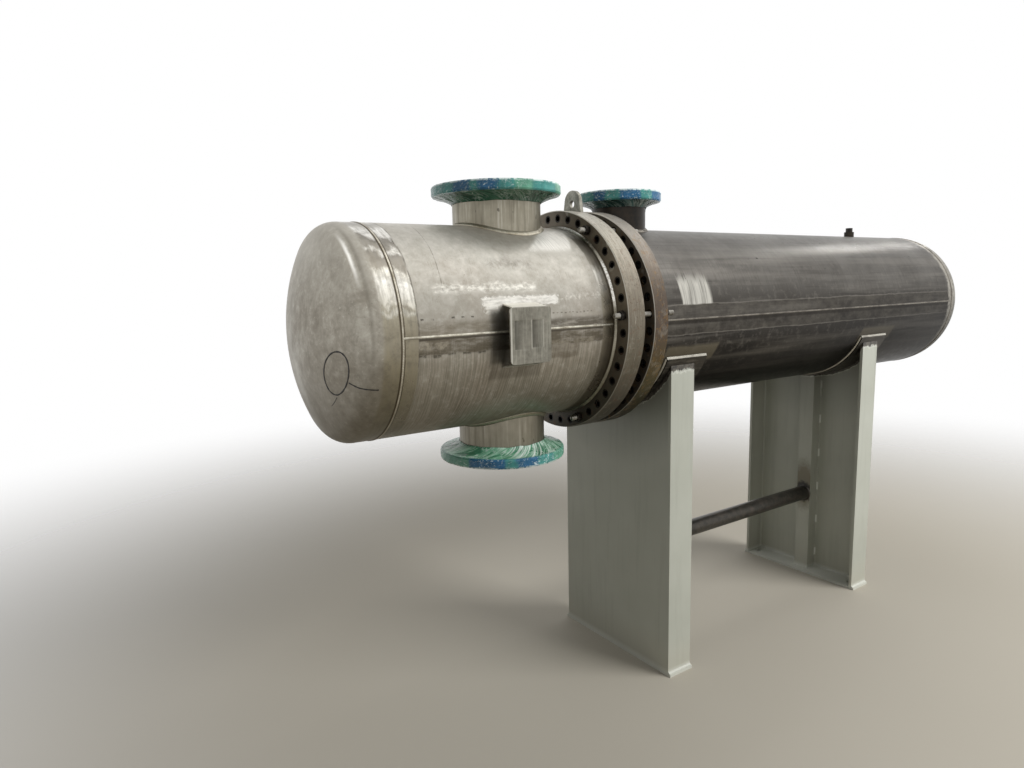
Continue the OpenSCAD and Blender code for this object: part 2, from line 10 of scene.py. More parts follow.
import bmesh
import bpy
import numpy as np
from bpy.props import FloatProperty, FloatVectorProperty, IntProperty, PointerProperty
from mathutils import Matrix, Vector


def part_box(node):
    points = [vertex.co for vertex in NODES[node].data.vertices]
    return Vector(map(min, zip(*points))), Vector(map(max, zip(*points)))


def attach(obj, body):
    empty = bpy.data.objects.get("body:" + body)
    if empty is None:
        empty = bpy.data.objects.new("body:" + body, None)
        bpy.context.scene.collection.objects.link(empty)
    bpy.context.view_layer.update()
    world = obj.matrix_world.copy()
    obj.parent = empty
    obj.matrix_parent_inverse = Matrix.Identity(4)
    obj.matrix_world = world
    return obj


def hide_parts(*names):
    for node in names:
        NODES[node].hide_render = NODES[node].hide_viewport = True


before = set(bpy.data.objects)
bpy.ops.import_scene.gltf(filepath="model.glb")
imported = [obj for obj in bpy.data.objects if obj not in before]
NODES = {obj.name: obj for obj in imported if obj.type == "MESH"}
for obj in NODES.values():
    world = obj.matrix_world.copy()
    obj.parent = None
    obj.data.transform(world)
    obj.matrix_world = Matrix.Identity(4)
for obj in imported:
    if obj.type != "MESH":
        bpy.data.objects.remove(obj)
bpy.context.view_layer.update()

bl_info = {
    "name": "Shell and tube heat exchanger",
    "version": (1, 0, 0),
    "blender": (4, 5, 0),
    "location": "View3D > Sidebar > Exchanger",
    "description": "Dresses the exchanger's solids with its finishes, welds, studs and film covers",
    "category": "Object",
}


def box(node):
    """Lowest and highest corner of a solid, one row each."""
    return np.array(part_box(node))


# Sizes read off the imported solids, in metres
AXIS_Z = box("tube_sheet").mean(0)[2]
CHANNEL_R = box("channel_head")[1, 1]
CHANNEL_END = box("channel_barrel")[0, 0]
CHANNEL_FACE = box("channel_flange")[0, 0]
SHELL_R = box("shell_barrel")[1, 1]
SHELL_FACE = box("shell_flange")[1, 0]
SHELL_END = box("rear_head")[0, 0]
FLANGE_R = box("shell_flange")[1, 1]
CHANNEL_NOZZLE_X = box("top_nozzle_neck").mean(0)[0]
CHANNEL_NECK_R = box("top_nozzle_neck")[1, 1]
SHELL_NOZZLE_X = box("shell_nozzle_neck").mean(0)[0]
SHELL_NECK_R = box("shell_nozzle_neck")[1, 1]
BRACKET_LEFT, BRACKET_FRONT = box("nameplate_bracket")[0, :2]

# Sizes that no box gives, as in the solids' own source
BOLT_R = 0.395  # radius of the bolt circle
BOLT_COUNT = 40
STUD_ANGLES = (58.5, 4.5, -67.5, 148.5, -148.5)  # degrees up from the near side
STUD_R = 0.0106
NUT_FLATS, NUT_LENGTH = 0.032, 0.018
CHANNEL_NOZZLE_FLANGE = 0.026  # thickness without the hub
SHELL_NOZZLE_FLANGE = 0.030
WEAR_PLATE_TURN = math.radians(65.5)  # half the angle that a wear plate covers
# Recesses of the nameplate: left and right from the bracket's left end, bottom and top from the vessel's
# axis, and the share of the depth that is left at the right
RECESSES = ((0.016, 0.080, -0.055, 0.036, 0.25), (0.083, 0.125, -0.052, 0.036, 0.75))
# Painted shade in them, dark at the left and fading out to the right, with a painted highlight along
# their right edge: left and right, how far the dark reaches, bottom and top
GREASE = ((0.0165, 0.079, 0.050, -0.055, 0.036), (0.084, 0.124, 0.120, -0.052, 0.036))
RING_STEPS, FOOT_STEPS = 1400, 760  # steps of a weld bead round a vessel and round a nozzle's foot


# Colours and nodes


def linear(code):
    """sRGB hex code to linear light: each channel c becomes ((c + 0.055) / 1.055) ** 2.4, or c / 12.92 when
    dark."""
    values = [int(code[i : i + 2], 16) / 255 for i in (1, 3, 5)]
    values = [v / 12.92 if v <= 0.04045 else ((v + 0.055) / 1.055) ** 2.4 for v in values]
    return (*values, 1.0)


def add_node(tree, kind, *values, stops=(), inputs=None, **settings):
    """Adds one node and gives its first live output, or the node where it has none. settings are the node's
    own properties, values fill its live sockets in order, inputs fill sockets by name, and stops are the
    positions and colours of a colour ramp. A socket takes a value or the output that feeds it, and None
    leaves it as it is."""
    node = tree.nodes.new("ShaderNode" + kind)
    for key, value in settings.items():
        setattr(node, key, value)
    if stops:
        ramp = node.color_ramp.elements
        while len(ramp) < len(stops):
            ramp.new(0.5)
        for element, (position, colour) in zip(ramp, stops):
            element.position, element.color = position, colour
    live = [socket for socket in node.inputs if socket.enabled]
    named = [(node.inputs[name], value) for name, value in (inputs or {}).items()]
    for socket, value in [*zip(live, values), *named]:
        if isinstance(value, bpy.types.NodeSocket):
            tree.links.new(value, socket)
        elif value is not None:
            socket.default_value = value
    return next((socket for socket in node.outputs if socket.enabled), node)


def new_material(name):
    """An empty material, the function that adds nodes to it, and the Object coordinates, which are metres
    in the part's frame."""
    material = bpy.data.materials.new(name)
    material.use_nodes = True
    material.node_tree.nodes.clear()
    add = partial(add_node, material.node_tree)
    return material, add, add("TexCoord").node.outputs["Object"]


def streaks(add, place, scale, detail, rough, turn=None, warp=None):
    """Noise drawn out along the axes: scale is how many marks a metre hold along X, Y and Z."""
    return add("TexNoise", add("Mapping", place, None, turn, scale), 1.0, detail, rough, None, warp)


def shifted(add, value, pattern, width):
    """A value moved by up to half of width either way, with a pattern from 0 to 1."""
    drift = add("Math", pattern, 0.5, operation="SUBTRACT")
    return add("Math", drift, width, value, operation="MULTIPLY_ADD")


def distance(add, across, up):
    """Root of the sum of two squares."""
    return add("VectorMath", add("CombineXYZ", across, up), operation="LENGTH")


def smooth_band(add, value, low, high, soft):
    """1 where value lies between low and high, falling to 0 over soft on both sides."""
    rise = add("MapRange", value, low - soft, low + soft, interpolation_type="SMOOTHSTEP")
    fall = add("MapRange", value, high + soft, high - soft, interpolation_type="SMOOTHSTEP")
    return add("Math", rise, fall, operation="MULTIPLY")


def window(add, across, up, left, right, low, high, soft, *more):
    """1 inside a rectangle of two coordinates, softened by soft, times any further masks."""
    mask = smooth_band(add, across, left, right, soft)
    for other in (smooth_band(add, up, low, high, soft), *more):
        mask = add("Math", mask, other, operation="MULTIPLY")
    return mask


def axes(add, place):
    """X, Y and the height above the vessel's axis."""
    x, y, z = add("SeparateXYZ", place).node.outputs
    return x, y, add("Math", z, AXIS_Z, operation="SUBTRACT")


def by_height(add, h, *stops):
    """Colour that changes with the height above the axis; stops are heights in metres and hex codes."""
    place = add("MapRange", h, -0.45, 0.45)
    return add("ValToRGB", place, stops=[((height + 0.45) / 0.9, linear(code)) for height, code in stops])


def by_turn(add, y, h, *stops, stray=0.0):
    """Colour that changes round the vessel, alike on both sides; stops are degrees above the side's middle
    and hex codes, and stray shifts the place by so many radians."""
    turn = add("Math", h, add("Math", y, operation="ABSOLUTE"), operation="ARCTAN2")
    place = add("MapRange", add("Math", turn, stray, operation="ADD"), -math.pi / 2, math.pi / 2)
    return add("ValToRGB", place, stops=[((degrees + 90) / 180, linear(code)) for degrees, code in stops])


def layered(add, colour, *coats):
    """Lays coats over a colour, one after the other. A coat is its share, its colour as a hex code or an
    output, and the masks whose product says where it lies."""
    for share, top, *masks in coats:
        for mask in masks:
            share = add("Math", mask, share, operation="MULTIPLY")
        top = linear(top) if isinstance(top, str) else top
        colour = add("Mix", share, colour, top, data_type="RGBA")
    return colour


def shade(add, colour, metallic, roughness, height, depth, **extra):
    """Principled shader. height is a 0 to 1 pattern that is depth metres deep."""
    bump = add("Bump", inputs={"Height": height, "Distance": depth, "Strength": 1.0})
    return add("BsdfPrincipled", inputs={"Base Color": colour, "Metallic": metallic, "Roughness": roughness,
                                         "Normal": bump, **extra})


# Finishes

# The near-mirror bands beside the ring weld, dressed with a fine disc, in painted reflections of bright
# and dark surroundings: degrees round the vessel and tone
DRESSED = ((-90, "#55503f"), (-60, "#696351"), (-34, "#7e7763"), (-12, "#948c76"), (0, "#8f8773"),
           (9, "#a39c88"), (12, "#dcd8ca"), (14.5, "#b5ae9b"), (17, "#ebe6d8"), (26, "#f6f3ea"),
           (32, "#e4e0d4"), (35.5, "#8c867b"), (43, "#7d786f"), (46, "#e9e6dd"), (48.5, "#a19c92"),
           (54, "#7b766d"), (57.5, "#eeebe4"), (64, "#f7f5ef"), (69, "#b9b5ac"), (75, "#8d8980"),
           (82, "#c9c5bc"), (90, "#b4b0a7"))
# The same painted reflections for the band and for the weld at the channel flange
FLANGE_BAND = ((-90, "#4f4a3e"), (-50, "#6d6657"), (-20, "#7f7767"), (0, "#857d6c"), (12, "#a09988"),
               (20, "#dcd8cc"), (30, "#f2efe6"), (34, "#a09a8e"), (45, "#7d786e"), (58, "#6a655b"),
               (64, "#efece4"), (72, "#f3f1ea"), (80, "#6b665c"), (90, "#8d887e"))
BRUSHED_WELD = ((-90, "#4a4436"), (-40, "#7d7766"), (-8, "#a29c8b"), (2, "#57503f"), (9, "#8e8878"),
                (14, "#f4f1e9"), (34, "#fbf9f3"), (40, "#a7a194"), (47, "#4f4a40"), (60, "#59544a"),
                (64, "#e8e5dc"), (78, "#f6f4ee"), (86, "#8a8478"))
# The rims of the two body flanges, lighter on top and darker below as painted light and shade, in rust
# tones on the rusty one: height above the axis and tone
LIGHT_RIM = ((-0.425, "#3d3a2f"), (-0.33, "#504c40"), (-0.20, "#605a4d"), (-0.05, "#736c5d"),
             (0.08, "#857c6d"), (0.20, "#9b9384"), (0.32, "#b5afa0"), (0.425, "#cac5b9"))
RUSTY_RIM = ((-0.425, "#17150f"), (-0.33, "#2a2712"), (-0.22, "#4c4425"), (-0.14, "#57492d"),
             (-0.02, "#54473d"), (0.10, "#61554a"), (0.21, "#81766a"), (0.31, "#a0988d"), (0.425, "#b0aba2"))


def pickled_stainless_barrel(base):
    """Rolled and pickled stainless plate: satin and cloudy, darker towards the bottom as painted shade, with
    fine dark marks round the barrel on its lower half, brown heat tint beside the seam, scuffs and clamp
    marks, painted highlights and shadows round the nozzle and the bracket and under the seam, and
    near-mirror bands where the ring welds were dressed, whose tones are painted reflections."""
    material, add, place = new_material("pickled stainless plate, rolled")
    x, y, h = axes(add, place)
    along = add("Math", x, CHANNEL_END, operation="SUBTRACT")  # distance from the barrel's left end
    near = smooth_band(add, y, -1.0, -0.10, 0.03)
    wander = shifted(add, 0.0, add("TexNoise", place, 3.2, 3, 0.55), 0.040)
    bent = add("CombineXYZ", add("Math", x, wander, operation="ADD"), y, h)
    fine = streaks(add, bent, (250, 3.5, 3.5), 3, 0.55)  # 4 mm marks
    finer = streaks(add, bent, (430, 12, 12), 3, 0.6)
    blotch = add("TexNoise", place, 7.5, 6, 0.62, None, 0.3)  # 130 mm clouds
    mottle = add("TexNoise", place, 34, 6, 0.70, None, 0.2)  # 30 mm mottling
    dab = add("TexNoise", place, 95, 3, 0.72)
    speck = add("TexNoise", place, 170, 2, 0.7)
    # painted shade: the barrel turns darker towards the bottom
    down = add("MapRange", h, 0.18, -0.28)
    colour = layered(add, base,
        (0.90, "#857f70", down),
        (0.50, "#948e81", add("MapRange", blotch, 0.36, 0.66)),
        (0.30, "#a39688", add("MapRange", add("TexNoise", place, 3.1, 3, 0.55), 0.45, 0.62)),
        (0.28, "#77705f", add("MapRange", mottle, 0.50, 0.70)),
        (0.30, "#dedad0", add("MapRange", mottle, 0.48, 0.30)))
    marks = add("MapRange", h, 0.07, -0.12, 0.0, 0.95)
    marks = add("Math", marks, add("MapRange", blotch, 0.30, 0.70, 1.0, 0.55), operation="MULTIPLY")
    colour = layered(add, colour,
        (0.48, "#59523f", marks, add("MapRange", fine, 0.47, 0.57)),
        (0.35, "#5d5545", marks, add("MapRange", finer, 0.50, 0.62)),
        (0.30, "#bdb7a6", marks, add("MapRange", fine, 0.42, 0.34)),
        # painted shade: a dark greenish tone at the very bottom
        (0.28, "#4e5a44", add("MapRange", h, -0.26, -0.345)),
        (0.40, "#5b5448", add("MapRange", speck, 0.68, 0.74)))
    # upper half: a long dark line, spatter left of it, a row of dark brush marks, a ragged row of bright
    # patches that is a painted highlight, and a fainter row of light patches below it
    lean = add("Math", wander, 0.25, add("Math", h, -0.05, along, operation="MULTIPLY_ADD"),
               operation="MULTIPLY_ADD")
    broken = add("MapRange", mottle, 0.36, 0.52, 0.15, 1.0)
    colour = layered(add, colour,
        (0.60, "#5e574c", window(add, lean, h, 0.1416, 0.1448, 0.13, 0.34, 0.0016, near, broken)),
        (0.75, "#5c564c",
         window(add, along, h, 0.0778, 0.2878, 0.08, 0.34, 0.03, near, add("MapRange", dab, 0.68, 0.72))))
    scratches = window(add, along, h, 0.0478, 0.7678, 0.06, 0.34, 0.03, near,
                       add("MapRange", finer, 0.60, 0.68),
                       add("MapRange", mottle, 0.42, 0.56))
    colour = layered(add, colour, (0.45, "#7b7467", scratches))
    strokes = add("MapRange", streaks(add, place, (44, 30, 34), 6, 0.75, warp=0.6), 0.38, 0.68)
    colour = layered(add, colour,
                     (0.62, "#5f594d",
                      window(add, along, h, 0.3378, 0.5178, 0.198, 0.230, 0.017, near, strokes)))
    ragged_h = shifted(add, h, mottle, 0.040)
    # the first of these two rows is a painted highlight
    colour = layered(add, colour,
        (0.78, "#f1eee4",
         window(add, along, ragged_h, 0.1178, 0.4978, 0.128, 0.152, 0.010, near,
                add("MapRange", streaks(add, place, (46, 60, 90), 4, 0.65), 0.40, 0.64))),
        (0.45, "#e9e6dc",
         window(add, along, ragged_h, 0.4478, 0.7878, 0.092, 0.112, 0.008, near,
                add("MapRange", dab, 0.50, 0.62))))
    # painted shadow of the nozzle on the plate left of its foot, painted light on the plate right of it
    left = add("Math", h, 0.965, along, operation="MULTIPLY_ADD")
    right = add("Math", h, -2.35, along, operation="MULTIPLY_ADD")
    dull = add("Math", smooth_band(add, left, 0.6438, 9.0, 0.008),
               smooth_band(add, right, -9.0, -0.1272, 0.012), operation="MULTIPLY")
    colour = layered(add, colour,
                     (0.30, "#8c877c", dull, near, smooth_band(add, ragged_h, 0.240, 1.0, 0.012)))
    left = add("Math", h, -1.74, along, operation="MULTIPLY_ADD")
    right = add("Math", h, -0.70, along, operation="MULTIPLY_ADD")
    bright = add("Math", smooth_band(add, left, 0.0748, 9.0, 0.012),
                 smooth_band(add, right, -9.0, 0.5358, 0.008), operation="MULTIPLY")
    bright = add("Math", add("Math", bright, near, operation="MULTIPLY"),
                 smooth_band(add, ragged_h, 0.262, 0.331, 0.012), operation="MULTIPLY")
    colour = layered(add, colour, (0.85, "#efece4", bright, add("MapRange", finer, 0.40, 0.62, 1.0, 0.45)))
    # seam: brown heat tint, a dark line just under the bead that is a painted shadow, clamp marks above it
    # and wipe marks at the tint's lower edge
    tint = streaks(add, place, (14, 11, 46), 6, 0.68)
    ragged = shifted(add, h, tint, 0.026)
    colour = layered(add, colour,
        (0.84, "#4e4534", near, smooth_band(add, ragged, -0.056, -0.004, 0.005),
         add("MapRange", tint, 0.34, 0.56, 0.30, 1.0)),
        (0.55, "#b4ac9a",
         window(add, along, ragged, 0.0078, 0.1478, -0.040, -0.016, 0.008, near,
                add("MapRange", mottle, 0.38, 0.56))),
        (0.35, "#a8a08e",
         window(add, along, ragged, 0.5278, 0.7478, -0.055, -0.036, 0.004, near,
                add("MapRange", mottle, 0.46, 0.60))),
        (0.60, "#5d5343",
         window(add, along, ragged, 0.5128, 0.6628, -0.100, -0.056, 0.006, near,
                add("MapRange", tint, 0.3, 0.6, 0.3, 1.0))),
        (0.62, "#655b46",
         window(add, along, ragged, -0.0522, 0.4478, 0.003, 0.042, 0.010, near,
                add("MapRange", tint, 0.36, 0.58, 0.2, 1.0))),
        (0.78, "#463e30",
         window(add, along, ragged, 0.4878, 0.9478, 0.003, 0.034, 0.008, near,
                add("MapRange", tint, 0.34, 0.54, 0.2, 1.0))),
        # painted shadow under the seam bead
        (0.80, "#3d362b", near, smooth_band(add, h, -0.0105, -0.0045, 0.0015)))
    spaced = add("Math", add("Math", wander, 0.9, x, operation="MULTIPLY_ADD"), 0.017, operation="PINGPONG")
    dots = window(add, spaced, add("Math", wander, 0.3, ragged, operation="MULTIPLY_ADD"), 0.0120, 0.0172,
                  0.050, 0.0550, 0.0016, near, smooth_band(add, along, 0.0178, 0.2478, 0.002),
                  add("MapRange", streaks(add, place, (24, 1, 1), 2, 0.55), 0.43, 0.48))
    colour = layered(add, colour, (0.85, "#3b352c", dots))
    dashes = window(add, spaced, ragged, 0.004, 0.012, 0.0500, 0.0525, 0.0014, near,
                    smooth_band(add, along, 0.5078, 0.7178, 0.004))
    colour = layered(add, colour, (0.7, "#4b4438", dashes))
    spaced = add("Math", add("Math", x, wander, operation="ADD"), 0.026, operation="PINGPONG")
    wipes = window(add, spaced, ragged, 0.012, 0.026, -0.0615, -0.0545, 0.0024, near,
                   smooth_band(add, along, 0.0278, 0.3078, 0.004),
                   add("MapRange", mottle, 0.34, 0.5, 0.2, 1.0))
    colour = layered(add, colour, (0.8, "#454034", wipes))
    # round the bracket's foot: a painted reflection of its top sheet above and left of it, a painted shadow
    # beside it and a fainter painted shadow below it
    torn = shifted(add, along, dab, 0.050)
    torn_h = shifted(add, h, dab, 0.026)
    polish = add("MapRange", streaks(add, place, (26, 90, 110), 4, 0.65), 0.36, 0.66, 1.0, 0.35)
    colour = layered(add, colour,
        (0.92, "#f3f0e8", window(add, torn, torn_h, 0.2818, 0.5778, 0.082, 0.110, 0.004, near, polish)),
        (0.85, "#efece2", window(add, torn, torn_h, 0.2878, 0.3358, 0.060, 0.095, 0.006, near, polish)),
        (0.68, "#39352d", window(add, along, h, 0.3028, 0.3628, -0.105, 0.070, 0.012, near)),
        (0.35, "#554e42", window(add, along, h, 0.3078, 0.5078, -0.155, -0.110, 0.007, near)))
    # dressed bands beside the ring weld and the flange: their tones are painted reflections that drift, and
    # the band's outer edge is smeared dark
    stray = shifted(add, 0.0, streaks(add, place, (18, 9, 9), 5, 0.62), 0.42)
    streaky = streaks(add, place, (110, 9, 9), 5, 0.68)
    dressed = by_turn(add, y, h, *DRESSED, stray=stray)
    dressed = layered(add, dressed,
        (0.45, "#827b6c", add("MapRange", streaky, 0.44, 0.62)),
        (0.40, "#5f594c", add("MapRange", mottle, 0.48, 0.64)))
    edge = shifted(add, x, mottle, 0.010)
    band = smooth_band(add, edge, CHANNEL_END - 0.02, CHANNEL_END + 0.050, 0.0022)
    colour = layered(add, colour, (0.90, dressed, band))
    smear = add("Math", smooth_band(add, edge, CHANNEL_END + 0.0490, CHANNEL_END + 0.0540, 0.0012),
                add("MapRange", blotch, 0.42, 0.56), operation="MULTIPLY")
    colour = layered(add, colour, (0.7, "#4e483d", smear))
    flange_band = smooth_band(add, edge, CHANNEL_FACE - 0.060, CHANNEL_FACE + 0.02, 0.003)
    end_tone = by_turn(add, y, h, *FLANGE_BAND, stray=stray)
    end_tone = layered(add, end_tone, (0.45, "#6f6858", add("MapRange", streaky, 0.44, 0.62)))
    colour = layered(add, colour, (0.88, end_tone, flange_band))
    toe = add("Math", smooth_band(add, x, CHANNEL_END + 0.0040, CHANNEL_END + 0.0075, 0.0012),
              add("MapRange", tint, 0.30, 0.55, 0.45, 1.0), operation="MULTIPLY")
    colour = layered(add, colour,
        (0.85, "#3f3628", toe),
        (0.65, "#4c4335", smooth_band(add, x, CHANNEL_FACE - 0.0165, CHANNEL_FACE - 0.009, 0.002)))
    rough = add("MapRange", blotch, 0.3, 0.7, 0.36, 0.48)
    rough = add("Math", rough,
                add("Math", add("Math", band, flange_band, operation="ADD"), 0.12, operation="MULTIPLY"),
                operation="SUBTRACT")
    height = add("Math", fine, 0.06, add("TexNoise", place, 5.0, 2, 0.4), operation="MULTIPLY_ADD")
    add("OutputMaterial", shade(add, colour, 0.62, rough, height, 0.0022))
    return material


def pickled_stainless_head(base):
    """Pressed and pickled stainless head: dull, mottled crown, darker towards the bottom and lighter on top
    as painted shade and light, a painted highlight along the turned knuckle, and a dressed near-mirror band
    at the weld whose tones are painted reflections."""
    material, add, place = new_material("pickled stainless head, pressed")
    x, y, h = axes(add, place)
    cloud = add("TexNoise", place, 6.0, 6, 0.66, None, 0.4)
    mottle = add("TexNoise", place, 30, 6, 0.72, None, 0.2)
    speck = add("TexNoise", place, 120, 3, 0.7)
    rubs = streaks(add, place, (8, 60, 12), 4, 0.62, turn=(0.25, 0, 0))
    radius = distance(add, y, h)
    colour = layered(add, base,
        (1.0, "#867f72", add("MapRange", cloud, 0.34, 0.66)),
        (0.30, "#837c70", add("MapRange", add("TexNoise", place, 2.6, 3, 0.5), 0.42, 0.62)),
        (0.42, "#645d50", add("MapRange", mottle, 0.49, 0.68)),
        (0.38, "#cac6ba", add("MapRange", mottle, 0.47, 0.30)),
        (0.22, "#6f6859", add("MapRange", rubs, 0.52, 0.70)),
        (0.45, "#554f43", add("MapRange", speck, 0.64, 0.72)),
        (0.35, "#d8d4c8", add("MapRange", speck, 0.36, 0.28)))
    # painted shade and light: darker towards the bottom, lighter towards the top
    down = add("MapRange", h, 0.02, -0.32)
    colour = layered(add, colour,
        (0.62, "#6a6355", down),
        (0.40, "#c6c2b7", add("MapRange", h, 0.08, 0.30)))
    # knuckle: a painted highlight along its upper near part and a duller lane outside it
    turn = add("Math", h, add("Math", y, operation="ABSOLUTE"), operation="ARCTAN2")
    high = smooth_band(add, turn, 0.58, 1.02, 0.18)
    lit = shifted(add, radius, mottle, 0.004)
    colour = layered(add, colour,
        (0.85, "#fbf9f2", high, smooth_band(add, lit, 0.3385, 0.3445, 0.0030)),
        (0.40, "#6a6458", smooth_band(add, turn, -0.2, 1.2, 0.2),
         smooth_band(add, lit, 0.3490, 0.3535, 0.002)))
    # dressed band on the straight part, with painted reflections
    stray = shifted(add, 0.0, streaks(add, place, (18, 9, 9), 5, 0.62), 0.46)
    streaky = streaks(add, place, (90, 9, 9), 5, 0.68)
    dressed = by_turn(add, y, h, *DRESSED, stray=stray)
    dressed = layered(add, dressed,
        (0.50, "#857e6f", add("MapRange", streaky, 0.42, 0.60)),
        (0.40, "#5f594c", add("MapRange", mottle, 0.48, 0.64)))
    straight = smooth_band(add, add("Math", stray, 0.05, x, operation="MULTIPLY_ADD"), CHANNEL_END - 0.060,
                           CHANNEL_END + 0.03, 0.009)
    colour = layered(add, colour,
        (0.85, dressed, straight),
        (0.75, "#3f3628", smooth_band(add, x, CHANNEL_END - 0.0078, CHANNEL_END - 0.0042, 0.0012)))
    rough = add("MapRange", cloud, 0.3, 0.7, 0.40, 0.50)
    rough = add("Math", rough, add("Math", straight, 0.12, operation="MULTIPLY"), operation="SUBTRACT")
    add("OutputMaterial",
        shade(add, colour, 0.82, rough,
              add("Math", mottle, 0.03, add("TexNoise", place, 6.0, 2, 0.45), operation="MULTIPLY_ADD"),
              0.0025))
    return material


def satin_neck(base):
    """Stainless pipe, satin: faint upright grinding marks and a few pits, darker towards the bottom as
    painted shade.
    """
    material, add, place = new_material("satin stainless pipe")
    upright = streaks(add, place, (85, 85, 4), 4, 0.6)
    cloud = add("TexNoise", place, 14, 4, 0.6)
    pit = streaks(add, place, (60, 60, 30), 2, 0.5)
    colour = layered(add, base,
        (1.0, "#8a8474", add("MapRange", cloud, 0.3, 0.75)),
        (0.42, "#5b5446", add("MapRange", upright, 0.48, 0.66)),
        (0.30, "#d6d1c4", add("MapRange", upright, 0.42, 0.34)),
        (0.65, "#3b352c", add("MapRange", pit, 0.70, 0.75)),
        # painted shade: darker towards the bottom
        (0.45, "#5f594b", add("MapRange", axes(add, place)[2], 0.1, -0.4)))
    rough = add("MapRange", upright, 0.3, 0.7, 0.34, 0.5)
    add("OutputMaterial", shade(add, colour, 0.75, rough, upright, 0.0003))
    return material


def weld_metal(name, base, dark, centre=None, half=0.0, rough=0.32, tones=()):
    """Weld bead: a bright crown, with a brown heat line along both toes, darker towards the bottom as painted
    shade. centre is the bead's middle as an axis letter and a place, half the half width of its bright part,
    and tones the stops of painted reflections round the vessel."""
    material, add, place = new_material(name)
    soot = add("TexNoise", place, 60, 4, 0.65)
    patch = add("TexNoise", place, 16, 4, 0.65)
    x, y, h = axes(add, place)
    colour = layered(add, base,
        (0.45, dark, add("MapRange", soot, 0.50, 0.74)),
        (0.65, dark, add("MapRange", patch, 0.44, 0.62)),
        # painted shade: darker towards the bottom
        (0.5, add("Mix", 0.5, base, dark, data_type="RGBA"), add("MapRange", h, 0.12, -0.25)))
    # painted reflections round the vessel
    if tones:
        colour = layered(add, colour,
                         (0.90, by_turn(add, y, h, *tones),
                          add("MapRange", add("TexNoise", place, 130, 3, 0.7), 0.40, 0.54, 0.30, 1.0)))
    if centre:
        toe = smooth_band(add, {"x": x, "h": h}[centre[0]], centre[1] - half, centre[1] + half, half * 0.3)
        colour = add("Mix", add("Math", 1.0, toe, operation="SUBTRACT"), colour,
                     add("Mix", 0.5, dark, linear("#3e3629"), data_type="RGBA"), data_type="RGBA")
    add("OutputMaterial", shade(add, colour, 0.75, rough, soot, 0.0004))
    return material


def forged_flange(name, rim, face, low_face, speckle, rough):
    """Forged steel ring, machined: turned grooves on the faces, grain along the rim, oil-dark faces, speckled
    rust, with painted shade that darkens rim and faces towards the bottom and rings each bolt hole, and a
    painted highlight along the bevel. The rim and the faces differ by how far a point lies from the axis; rim
    is a list of heights and tones."""
    material, add, place = new_material(name)
    _, y, h = axes(add, place)
    radius = distance(add, y, h)
    grain = streaks(add, place, (210, 10, 10), 5, 0.66)
    mottle = add("TexNoise", place, 24, 5, 0.66, None, 0.4)
    rust = add("TexNoise", place, 60, 4, 0.7, None, 0.6)
    groove = add("TexNoise", add("CombineXYZ", add("Math", radius, 420, operation="MULTIPLY"), 0.0, 0.0), 1.0,
                 2, 0.5)
    on_rim = add("Math", radius, FLANGE_R - 0.0012, operation="GREATER_THAN")
    # painted light and shade: the rim lighter on top, darker below
    rim_colour = by_height(add, h, *rim)
    rim_colour = layered(add, rim_colour,
        (0.35, "#3f382d", add("MapRange", grain, 0.42, 0.66)),
        (0.22, "#b7b1a2", add("MapRange", mottle, 0.46, 0.32)))
    # painted shade: the face darker towards the bottom
    face_colour = add("Mix", add("MapRange", h, 0.10, -0.36), face, low_face, data_type="RGBA")
    face_colour = layered(add, face_colour,
        (0.35, "#40392f", add("MapRange", mottle, 0.42, 0.68)),
        (0.18, "#968f82", groove))
    # painted shade round each bolt hole, near black: distance from the nearest of the forty on their circle
    half_step = math.pi / BOLT_COUNT
    turn = add("Math", add("Math", h, y, operation="ARCTAN2"), half_step, operation="SUBTRACT")
    aside = add("Math", add("Math", turn, half_step, operation="PINGPONG"), BOLT_R, operation="MULTIPLY")
    hole = distance(add, aside, add("Math", radius, BOLT_R, operation="SUBTRACT"))
    face_colour = layered(add, face_colour, (0.95, "#0d0b09", add("MapRange", hole, 0.0175, 0.0145)))
    colour = add("Mix", on_rim, face_colour, rim_colour, data_type="RGBA")
    colour = layered(add, colour, (0.45, speckle, add("MapRange", rust, 0.54, 0.66)))
    # painted highlight along the bevel, stronger towards the top
    bevel = smooth_band(add, radius, FLANGE_R - 0.0040, FLANGE_R - 0.0010, 0.0006)
    edge = add("MapRange", h, -0.40, 0.15, 0.25, 0.8)
    colour = layered(add, colour, (0.8, "#cfcabd", bevel, edge))
    # a few drawn scratches across the rim
    scratch = streaks(add, place, (260, 14, 14), 2, 0.5, turn=(0, 0.3, 0.2))
    colour = layered(add, colour,
        (0.45, "#c9c4b6", add("MapRange", scratch, 0.68, 0.72)),
        (0.45, "#3a332a", on_rim, add("MapRange", add("TexNoise", place, 130, 3, 0.7), 0.58, 0.68)))
    add("OutputMaterial",
        shade(add, colour, 0.6, rough, add("Math", grain, 0.6, mottle, operation="MULTIPLY_ADD"), 0.0004))
    return material


